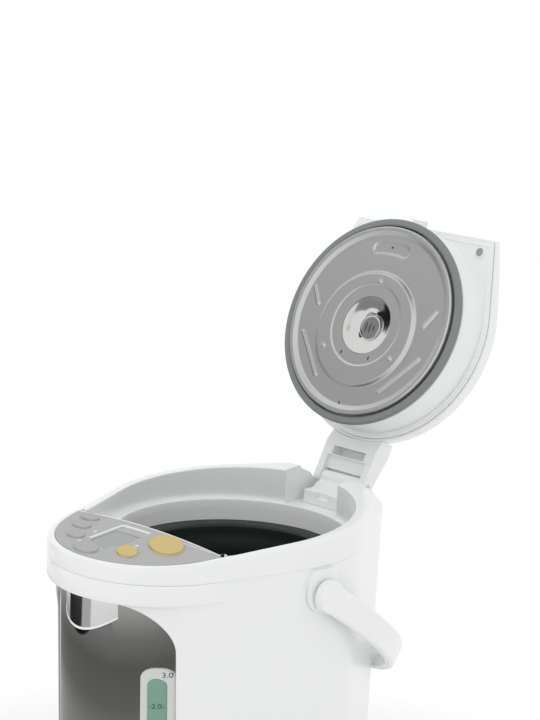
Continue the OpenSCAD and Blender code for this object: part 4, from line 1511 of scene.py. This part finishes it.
@dataclass
class Handle:
    """The bail: a strap bent round the rear, with a hub at each end."""

    size: Build
    inside: float = 108.6
    outside: float = 116.6
    width: float = 22.0
    length: float = 194.0
    straight: float = 30.0
    drop: float = 34.0
    hub_r: float = 12.5
    crown: float = 0.55
    corner: float = 2.6

    def build(self) -> None:
        """Sweeps a crowned rounded section along two straights and half an ellipse."""
        thick, middle = self.outside - self.inside, (self.inside + self.outside) / 2
        depth = self.length - self.straight - thick / 2
        angle = np.linspace(0, np.pi, 121)
        arc = np.column_stack([middle * np.cos(angle), self.straight + depth * np.sin(angle)])
        run = np.linspace(0, self.straight, 8)[:-1]
        near = np.column_stack([np.full(len(run), middle), run])
        line = np.concatenate([near, arc, near[::-1] * [-1, 1]])
        way = np.gradient(line, axis=0)
        way /= np.linalg.norm(way, axis=1, keepdims=True)
        out = np.column_stack([way[:, 1], -way[:, 0]])
        section = rounded_box(thick / 2, self.width / 2, self.corner, 8, 10)
        fall = self.crown * (section[:, 1] / (self.width / 2)) ** 2
        section[:, 0] -= np.where(section[:, 0] > 0, fall, 0)
        rows = []
        for point, normal in zip(line, out):
            flat = point + normal * section[:, :1]
            rows.append(np.column_stack([flat, section[:, 1]]))
        grids = [Grid(np.array(rows), False, True), fan(rows[0]), fan(rows[-1])]
        ends = [(0, self.outside), (self.hub_r, self.outside)]
        ends += [(self.hub_r, self.inside), (0, self.inside)]
        hub = lathe(rounded(ends, [0, 1.6, 0.8, 0], 6), 96).points
        for side in (1, -1):
            points = np.stack([side * hub[..., 2], hub[..., 0], hub[..., 1]], -1)
            grids.append(Grid(points, False, True))
        pivot = [0, self.size.pivot_y, self.size.pivot_z]
        for grid in grids:
            grid.points = turned(grid.points, -self.drop) + pivot
        fit(mesh_object("bail_strap", grids, True, 45), Finish.white_gloss, "handle", "handle")


@dataclass
class Lid:
    """The open lid: shell, tray, seal, pressed steel plate and the vent's dish.

    Every piece is drawn shut, facing down, and then turned open about the hinge.
    """

    size: Build
    inset: float = 9.7
    chord: float = -90.1
    shell_wall: float = 2.4
    wall_z: float = 281.7
    ball: float = 400.0
    ball_top: float = 302.7
    lever_half: float = 15.3
    lever_deep: float = 23.0
    lever_z: tuple[float, float] = (5.8, 20.0)
    spigot_z: float = 256.5
    screw_x: float = 62.0
    screw_back: float = 12.0
    plate_r: float = 79.5
    plate_z: float = 247.5
    plate_lift: float = 3.0
    dish: float = 6.0
    dish_edge: float = 24.5
    ring_at: tuple[float, float] = (-1.5, 8.0)
    dish_at: tuple[float, float] = (-0.9, 4.6)
    dimple_r: float = 40.5
    pocket_r: float = 69.5
    pocket_half: float = 14.0

    def plan(self, inset: float) -> Array:
        """The lid's outline, moved in by a distance."""
        radius = Outline(self.size.round_head()).radius(self.inset + inset)
        return behind(radius, self.chord + inset)

    def dome(self, radius: Array, inset: float = 0.0) -> Array:
        """Height of the crown: a ball of radius ball - inset under the top."""
        ball = self.ball - inset
        return self.ball_top - self.ball + np.sqrt(ball**2 - radius**2)

    def fit_open(self, piece: bpy.types.Object, finish: Finish, *nodes: str) -> None:
        """Opens a piece that was drawn shut, and fits it to the lid."""
        fit(self.size.opened(piece), finish, "lid", *nodes)

    def shell(self) -> None:
        """Side wall and crown, as a closed skin, with the lever's opening."""
        low, wall = self.wall_z, self.shell_wall
        inside, outside = self.plan(wall), self.plan(2.6)
        rows: Rows = []
        for part in np.linspace(0, 1, 30):
            rows.append((inside * part, self.dome(inside * part, wall)))
        for inset, up in ((wall, 0.4), (2.1, 0.0), (0.5, 0.0), (0.1, 0.4), (0.0, 1.0)):
            rows.append((self.plan(inset), low + up))
        for inset, down in ((0.0, 2.4), (0.25, 1.3), (0.8, 0.5), (1.6, 0.12), (2.6, 0.0)):
            radius = self.plan(inset)
            rows.append((radius, self.dome(radius) - down))
        for part in np.linspace(1, 0, 40)[1:]:
            rows.append((outside * part, self.dome(outside * part)))
        shell = mesh_object("lid_crown", [Grid(loft(rows), False, True)], True, 35)
        bottom, top = (low + up for up in self.lever_z)
        back = self.chord + self.lever_deep
        corners = (-self.lever_half, self.chord - 1, bottom), (self.lever_half, back, top)
        carve(shell, [box_solid("lever_cutter", *corners)], 35)
        self.fit_open(shell, Finish.white_gloss, "lid_shell")

    def tray(self) -> None:
        """The flat inner face with its raised line, the seal's spigot and the screw cups."""
        face, back, spigot = self.wall_z - 1.8, self.wall_z + 0.2, self.spigot_z
        edge = (
            (2.5, back), (2.5, face + 0.5), (2.7, face + 0.12), (3.1, face), (4.6, face),
            (4.9, face - 0.5), (5.3, face - 0.75), (6.1, face - 0.75), (6.5, face - 0.5),
            (6.9, face),
        )
        rows: Rows = [(self.plan(inset), height) for inset, height in edge]
        last = self.plan(7.2)
        foot = np.minimum(disc_radius(89.5), last - 0.1)
        rows += [(last, face), (foot + (last - foot) * 0.4, face), (foot, face)]
        for radius, gap, height in (
            (88.4, 0.2, face - 0.4), (88, 0.2, face - 1.2), (85.2, 0, spigot + 0.5),
            (84.6, 0, spigot), (70, 0, spigot),
        ):
            rows.append((np.minimum(disc_radius(radius), foot - gap), height))
        rows += [(disc_radius(40), spigot), (disc_radius(40), back), (disc_radius(75), back)]
        tray = mesh_object("lid_lining", [Grid(loft(rows), True, True)], True, 35)
        self.fit_open(tray, Finish.white_satin, "lid_tray")
        corners = [(1.6, face - 0.1), (3.7, face - 1.7), (4.3, face - 1.7), (4.9, face - 0.05)]
        cup = lathe(rounded(corners, [0, 0.3, 0.3, 0], 4), 48).points
        for side, word in ((-1, "left"), (1, "right")):
            points = cup + [side * self.screw_x, self.chord + self.screw_back, 0]
            ring = mesh_object(f"screw_cup_{word}", [Grid(points, False, True)], False, 50)
            self.fit_open(ring, Finish.white_satin)

    def seal(self) -> None:
        """The soft ring: a wide rounded lip and a narrower step behind it."""
        profile = [
            (80.4, 255), (81.0, 250.1), (81.9, 249.5), (86, 249.5), (87, 251), (87, 252.9),
            (84, 253.9), (85, 256.4), (80.4, 256.4),
        ]
        radii = [0.3, 0.5, 0.5, 0.9, 0.8, 0.7, 0.6, 0.6, 0.4]
        ring = lathe(rounded(profile, radii, 5, loop=True), 256)
        ring.round_rows = True
        gasket = mesh_object("lid_gasket", [ring], True, 50)
        self.fit_open(gasket, Finish.seal_rubber, "lid_seal")

    def relief(self, x: Array, y: Array) -> Array:
        """How far the pressed plate stands out from its lowest field, in millimetres.

        Rings come from smooth steps of the radius; ribs, dimples and the pocket from
        smooth steps of the distance to a segment, a point or a ring sector.

        Args:
            x: Places across, on the shut lid.
            y: Places along.

        Returns:
            The heights.
        """
        field, rim_step, ring_step, dish_step = 1.2, 2.2, 2.4, 0.7
        rib_rise, dimple_rise, pocket_fall = 1.4, 1.6, 1.3
        rise = field + rim_step * smoothstep(71.6, 76.6, np.hypot(x, y))
        inner = np.hypot(x - self.dish_at[0], y - self.dish_at[1])
        x, y = x - self.ring_at[0], y - self.ring_at[1]
        radius, angle = np.hypot(x, y), np.degrees(np.arctan2(y, x)) % 360
        rise = rise + ring_step * (1 - smoothstep(46.4, 49.9, radius))
        rise = rise - dish_step * (1 - smoothstep(33.4, 35.2, inner))
        ribs = (
            ((-62, 12.8), (-34.7, 45.5)), ((61.8, 14.9), (33.2, 47.2)),
            ((-65, -26), (-56, -12.4)), ((64.2, -25.4), (56, -11.5)),
        )
        for (ax, ay), (bx, by) in ribs:
            bx, by = bx - ax, by - ay
            part = np.clip(((x - ax) * bx + (y - ay) * by) / (bx * bx + by * by), 0, 1)
            gap = np.hypot(x - ax - part * bx, y - ay - part * by)
            rise = rise + rib_rise * (1 - smoothstep(0.5, 1.9, gap))
        for turn in np.radians([272, 149, 29]):
            gap = np.hypot(x - self.dimple_r * np.cos(turn), y - self.dimple_r * np.sin(turn))
            rise = rise + dimple_rise * (1 - smoothstep(0.6, 2.5, gap))
        along = np.radians(np.abs(angle - 270)) * self.pocket_r
        gap = np.hypot(radius - self.pocket_r, np.maximum(along - self.pocket_half, 0))
        return rise - pocket_fall * (1 - smoothstep(3.7, 5.5, gap))

    def plate(self) -> None:
        """The pressed steel plate as a height field on a polar grid, with a rolled rim."""
        z, edge_r = self.plate_z, self.plate_r
        cos, sin = np.cos(THETA), np.sin(THETA)
        radii = np.concatenate([np.linspace(self.dish_edge, 72, 88), np.linspace(72.5, 77.6, 16)])
        ease = (1 - smoothstep(self.dish_edge, 60, radii))[:, None]
        x = radii[:, None] * cos + self.dish_at[0] * ease
        y = radii[:, None] * sin + self.dish_at[1] * ease
        front = np.stack([x, y, z + self.plate_lift - self.relief(x, y)], -1)
        rows = []
        for radius, up in (
            (78.4, -0.55), (79.1, -0.15), (edge_r, 0.7), (edge_r, 1.8), (edge_r, 4), (76, 4.4),
            (60, 4.4),
        ):
            rows.append(np.stack([radius * cos, radius * sin, np.full(COLUMNS, z + up)], -1))
        rows.append(front[0] + [0, 0, 1.2])
        sheet = [Grid(np.concatenate([front, np.array(rows)]), True, True)]
        plate = mesh_object("pressed_plate", sheet, True, 60)
        self.fit_open(plate, Finish.stainless, "inner_lid")
        # The plate's slots and the pocket's hole are dark ovals of painted shade, not cut
        # openings.
        slot, spot = (0.8, 1.7), (1.1, 1.1)
        hole_shades = (
            ("plate_slot_shade_0", (-15.1, 22.6), slot),
            ("plate_slot_shade_1", (13.8, 22.8), slot),
            ("plate_slot_shade_2", (-1.6, 63.2), slot),
            ("pocket_hole_shade", (-0.7, -70.5), spot),
        )
        for name, place, half in hole_shades:
            middle = np.array(place) + self.ring_at
            rise = self.relief(middle[0], middle[1])
            self.hole(name, middle, half, z + self.plate_lift - 0.1 - rise)

    def hole(self, name: str, middle: Array, half: tuple[float, float], z: float) -> None:
        """A thin dark oval that stands in for a hole: painted shade for the hole's dark inside.

        Args:
            name: The piece's name.
            middle: Its middle (x, y) on the shut lid.
            half: Its half sizes.
            z: Its height on the shut lid.
        """
        turn = np.arange(24) * TURN / 24
        rows = []
        for part, up in ((1.0, 0.3), (1.0, 0.0), (0.0, 0.0)):
            x = middle[0] + half[0] * part * np.cos(turn)
            y = middle[1] + half[1] * part * np.sin(turn)
            rows.append(np.column_stack([x, y, np.full(24, z + up)]))
        oval = mesh_object(name, [Grid(np.array(rows), False, True)], True, 60)
        # The dark plastic finish serves here as painted shade inside the hole.
        self.fit_open(oval, Finish.dark_plastic)

    def vent(self) -> None:
        """The concave dish over the steam vent, with a raised ring, and three slots drawn as dark
        ovals of painted shade.
        """
        z, low = self.plate_z, self.plate_z + self.dish
        corners = [
            (0, low), (8.6, low), (10.2, low + 0.5), (11.4, low - 0.6), (15, low - 2.6),
            (21.5, z + 1.6), (24.4, z + 0.5), (26.4, z + 1.2), (26.4, z + 2.2),
            (13, low + 0.8), (0, low + 1.2),
        ]
        radii = [0, 0.8, 0.7, 0.8, 3, 2, 1.6, 0.3, 0.3, 1, 0]
        dish = lathe(rounded(corners, radii, 7), 192)
        dish.points = dish.points + [*self.dish_at, 0]
        cap = mesh_object("vent_cap", [dish], True, 50)
        self.fit_open(cap, Finish.vent_steel, "vent_dome")
        # Each vent slot is a dark oval of painted shade.
        for number, (x, tall) in enumerate(((-3.9, 4.2), (0.0, 4.2), (3.9, 2.6))):
            middle = np.array([x, 0.6]) + self.dish_at
            self.hole(f"vent_slot_shade_{number}", middle, (0.95, tall), low - 0.06)

    def build(self) -> None:
        """Makes all pieces of the lid."""
        self.shell()
        self.tray()
        self.seal()
        self.plate()
        self.vent()


def bevelled_copy(node: str, name: str, body: str, width: float) -> None:
    """A satin copy of a CAD node, with doubles merged and edges rounded, in its place.

    Args:
        node: The CAD node.
        name: The copy's name.
        body: The body that it rides on.
        width: The bevel's width in millimetres.
    """
    mesh = frame["nodes"][node].data.copy()
    work = bmesh.new()
    work.from_mesh(mesh)
    bmesh.ops.remove_doubles(work, verts=work.verts, dist=1e-5)
    flat = math.radians(1)
    bmesh.ops.dissolve_limit(work, angle_limit=flat, verts=work.verts, edges=work.edges)
    bmesh.ops.recalc_face_normals(work, faces=work.faces)
    work.to_mesh(mesh)
    work.free()
    made = linked(name, mesh)
    bevel = made.modifiers.new("edges", "BEVEL")
    bevel.width, bevel.segments, bevel.limit_method = width * MM, 3, "ANGLE"
    bevel.angle_limit = math.radians(35)
    bevel.harden_normals = False
    soften(mesh, 40)
    fit(made, Finish.white_satin, body, node)


# ----------------------------------------------------------------------- studio


@dataclass
class Studio:
    """Pale floor, plain soft lights, things for the metals to mirror, and the camera."""

    focal_px: float = 2438.0
    photo_size: tuple[int, int] = (540, 720)
    eye: Point = (1.2480, -1.3208, 0.8047)
    right: Point = (0.7296, 0.6828, 0.0380)
    up: Point = (-0.1754, 0.1332, 0.9754)
    ambient: Colour = (0.92, 0.925, 0.93)
    white: Colour = (1.0, 1.0, 1.0)
    matt: Colour = (0.86, 0.86, 0.86)
    warm: Colour = (1.0, 0.985, 0.96)
    floor_z: float = -0.3
    floor_radii: tuple[float, ...] = (0.0, 200.0, 1200.0, 4000.0)
    glow_from: float = 0.22
    glow_to: float = 0.4
    aim: Point = (0.0, 0.0, 0.25)

    def camera(self) -> None:
        """The photograph's camera, from its fitted axes and focal length in pixels."""
        data = bpy.data.cameras.new("camera")
        data.sensor_fit, data.sensor_height = "VERTICAL", 36.0
        data.sensor_width = 27.0
        data.lens = self.focal_px * data.sensor_height / self.photo_size[1]
        data.clip_start, data.clip_end = 0.05, 50
        right, up = Vector(self.right).normalized(), Vector(self.up)
        up = (up - right * up.dot(right)).normalized()
        axes = Matrix((right, up, right.cross(up))).transposed().to_4x4()
        holder = linked("camera", data)
        holder.matrix_world = Matrix.Translation(self.eye) @ axes
        bpy.context.scene.camera = holder
        render = bpy.context.scene.render
        render.resolution_x, render.resolution_y = self.photo_size

    def world(self) -> None:
        """Even grey light for surfaces, and white for the camera and for reflections."""
        world = bpy.data.worlds.new("studio")
        bpy.context.scene.world = world
        world.use_nodes = True
        graph = Graph(world.node_tree)
        camera, through, glossy = (
            graph.node("ShaderNodeLightPath", {}, {}, f"Is {ray} Ray")
            for ray in ("Camera", "Transmission", "Glossy")
        )
        tone = graph.blend(camera.most(through).most(glossy), self.ambient, self.white)
        graph.feed(graph.tree.nodes["Background"].inputs["Color"], tone)

    def lamp(self, name: str, place: Point, width: float, power: float) -> None:
        """A soft square light that faces the pot and that metals don't mirror.

        Args:
            name: Its name.
            place: Its place in metres.
            width: Its width in metres.
            power: Its power in watts.
        """
        data = bpy.data.lights.new(name, "AREA")
        data.size, data.energy = width, power
        holder = linked(name, data)
        way = Vector(self.aim) - Vector(place)
        turn = way.to_track_quat("-Z", "Y").to_matrix().to_4x4()
        holder.matrix_world = Matrix.Translation(place) @ turn
        holder.visible_glossy = False

    def floor(self) -> None:
        """A matt round floor that turns to white glow away from the pot."""
        profile = np.array([(radius, self.floor_z) for radius in self.floor_radii])
        floor = mesh_object("floor", [lathe(profile, 96)], False, 30)
        material, graph = node_material("floor")
        span = {"Value": graph.reach(), "From Min": self.glow_from, "From Max": self.glow_to}
        far = graph.node("ShaderNodeMapRange", {}, span)
        matt = graph.node("ShaderNodeBsdfDiffuse", {}, {"Color": self.matt})
        shaders = {0: far, 1: matt, 2: graph.glow(self.white)}
        graph.show(graph.node("ShaderNodeMixShader", {}, shaders))
        floor.data.materials.append(material)

    def reflector(
        self, name: str, points: Array, stops: tuple[tuple[float, float], ...]
    ) -> None:
        """A sheet of light that only mirror-like surfaces see.

        Args:
            name: Its name.
            points: Its grid of points in metres.
            stops: One tone as (0, tone), or slightly warm tones by the distance in metres
                from the pot.
        """
        made = mesh_object(name, [Grid(points / MM)], False, 30)
        material, graph = node_material(name)
        if len(stops) == 1:
            colour = shade(self.white, stops[0][1])
        else:
            tones = [(place, shade(self.warm, tone)) for place, tone in stops]
            colour = graph.node("ShaderNodeValToRGB", {"stops": tones}, {"Fac": graph.reach()})
        graph.show(graph.glow(colour))
        made.data.materials.append(material)
        made.visible_camera = made.visible_diffuse = made.visible_shadow = False
        made.visible_transmission = False

    def upright(self, name: str, first: Point, last: Point, tone: float) -> None:
        """A flat upright card that only mirror-like surfaces see.

        Args:
            name: Its name.
            first: Its lowest corner in metres.
            last: The corner opposite.
            tone: Its tone.
        """
        (x0, y0, z0), (x1, y1, z1) = first, last
        rows = [[(x0, y0, z), (x1, y1, z)] for z in (z0, z1)]
        self.reflector(name, np.array(rows), ((0, tone),))

    def ring_part(
        self,
        name: str,
        radii: tuple[float, float],
        degrees: tuple[float, float],
        count: int,
        height: float,
        stops: tuple[tuple[float, float], ...],
    ) -> None:
        """A part of a ring on the floor, that only mirror-like surfaces see.

        Args:
            name: Its name.
            radii: Its inner and outer radius in metres.
            degrees: Its first and last angle.
            count: Points along its arc.
            height: Its height in metres.
            stops: Its tones, as a reflector takes them.
        """
        turn = np.radians(np.linspace(*degrees, count))
        rows = [
            np.stack([r * np.cos(turn), r * np.sin(turn), np.full(count, height)], -1)
            for r in radii
        ]
        self.reflector(name, np.array(rows), stops)

    def build(self) -> None:
        """Sets up the whole studio."""
        bpy.context.scene.view_settings.view_transform = "Standard"
        self.camera()
        self.world()
        self.floor()
        self.lamp("key_light", (-0.9, -1.9, 1.6), 1.2, 1.5)
        self.lamp("top_light", (-0.1, -0.5, 2.1), 0.9, 3)
        self.upright("steel_card", (-2.2, -1.2, 0.2), (-0.6, -2.4, 2.6), 0.3)
        self.upright("side_card", (-1.0, -0.5, 0.0), (-1.0, 0.0, 0.7), 0.01)
        top = [[(-0.3, y, 1.5), (0.4, y, 1.5)] for y in (-0.1, 0.5)]
        self.reflector("top_card", np.array(top), ((0, 0.02),))
        far_floor = ((0.3, 0.6), (0.44, 0.5), (0.52, 0.3), (0.62, 0.24), (0.7, 0.42), (0.78, 0.85))
        self.ring_part("front_card", (0.2, 0.9), (165, 330), 60, 0.002, far_floor)
        near_spout = (0.71, 1.0)
        self.ring_part("spout_card", near_spout, (194, 240), 2, 0.003, ((0, 0.012),))
        self.ring_part("spout_grey_card", near_spout, (240, 262), 2, 0.003, ((0, 0.45),))


def main() -> None:
    """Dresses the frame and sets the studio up."""
    logging.basicConfig(level=logging.INFO, format="%(name)s: %(message)s")
    for part in frame["record"]["subparts"]:
        materials = frame["nodes"][part["node"]].data.materials
        materials.clear()
        materials.append(Finish[part["material_slot"]].material())
    size = Build()
    for assembly in (Body, Rim, Bosses, Front, Panel, Vessel, Handle, Lid):
        LOG.info("building %s", assembly.__name__)
        assembly(size).build()
    bevelled_copy("hinge_arm", "lid_arm", "lid", 1.2)
    bevelled_copy("hinge_block", "hinge_saddle", "pot", 0.8)
    Studio().build()


if __name__ == "__main__":
    main()
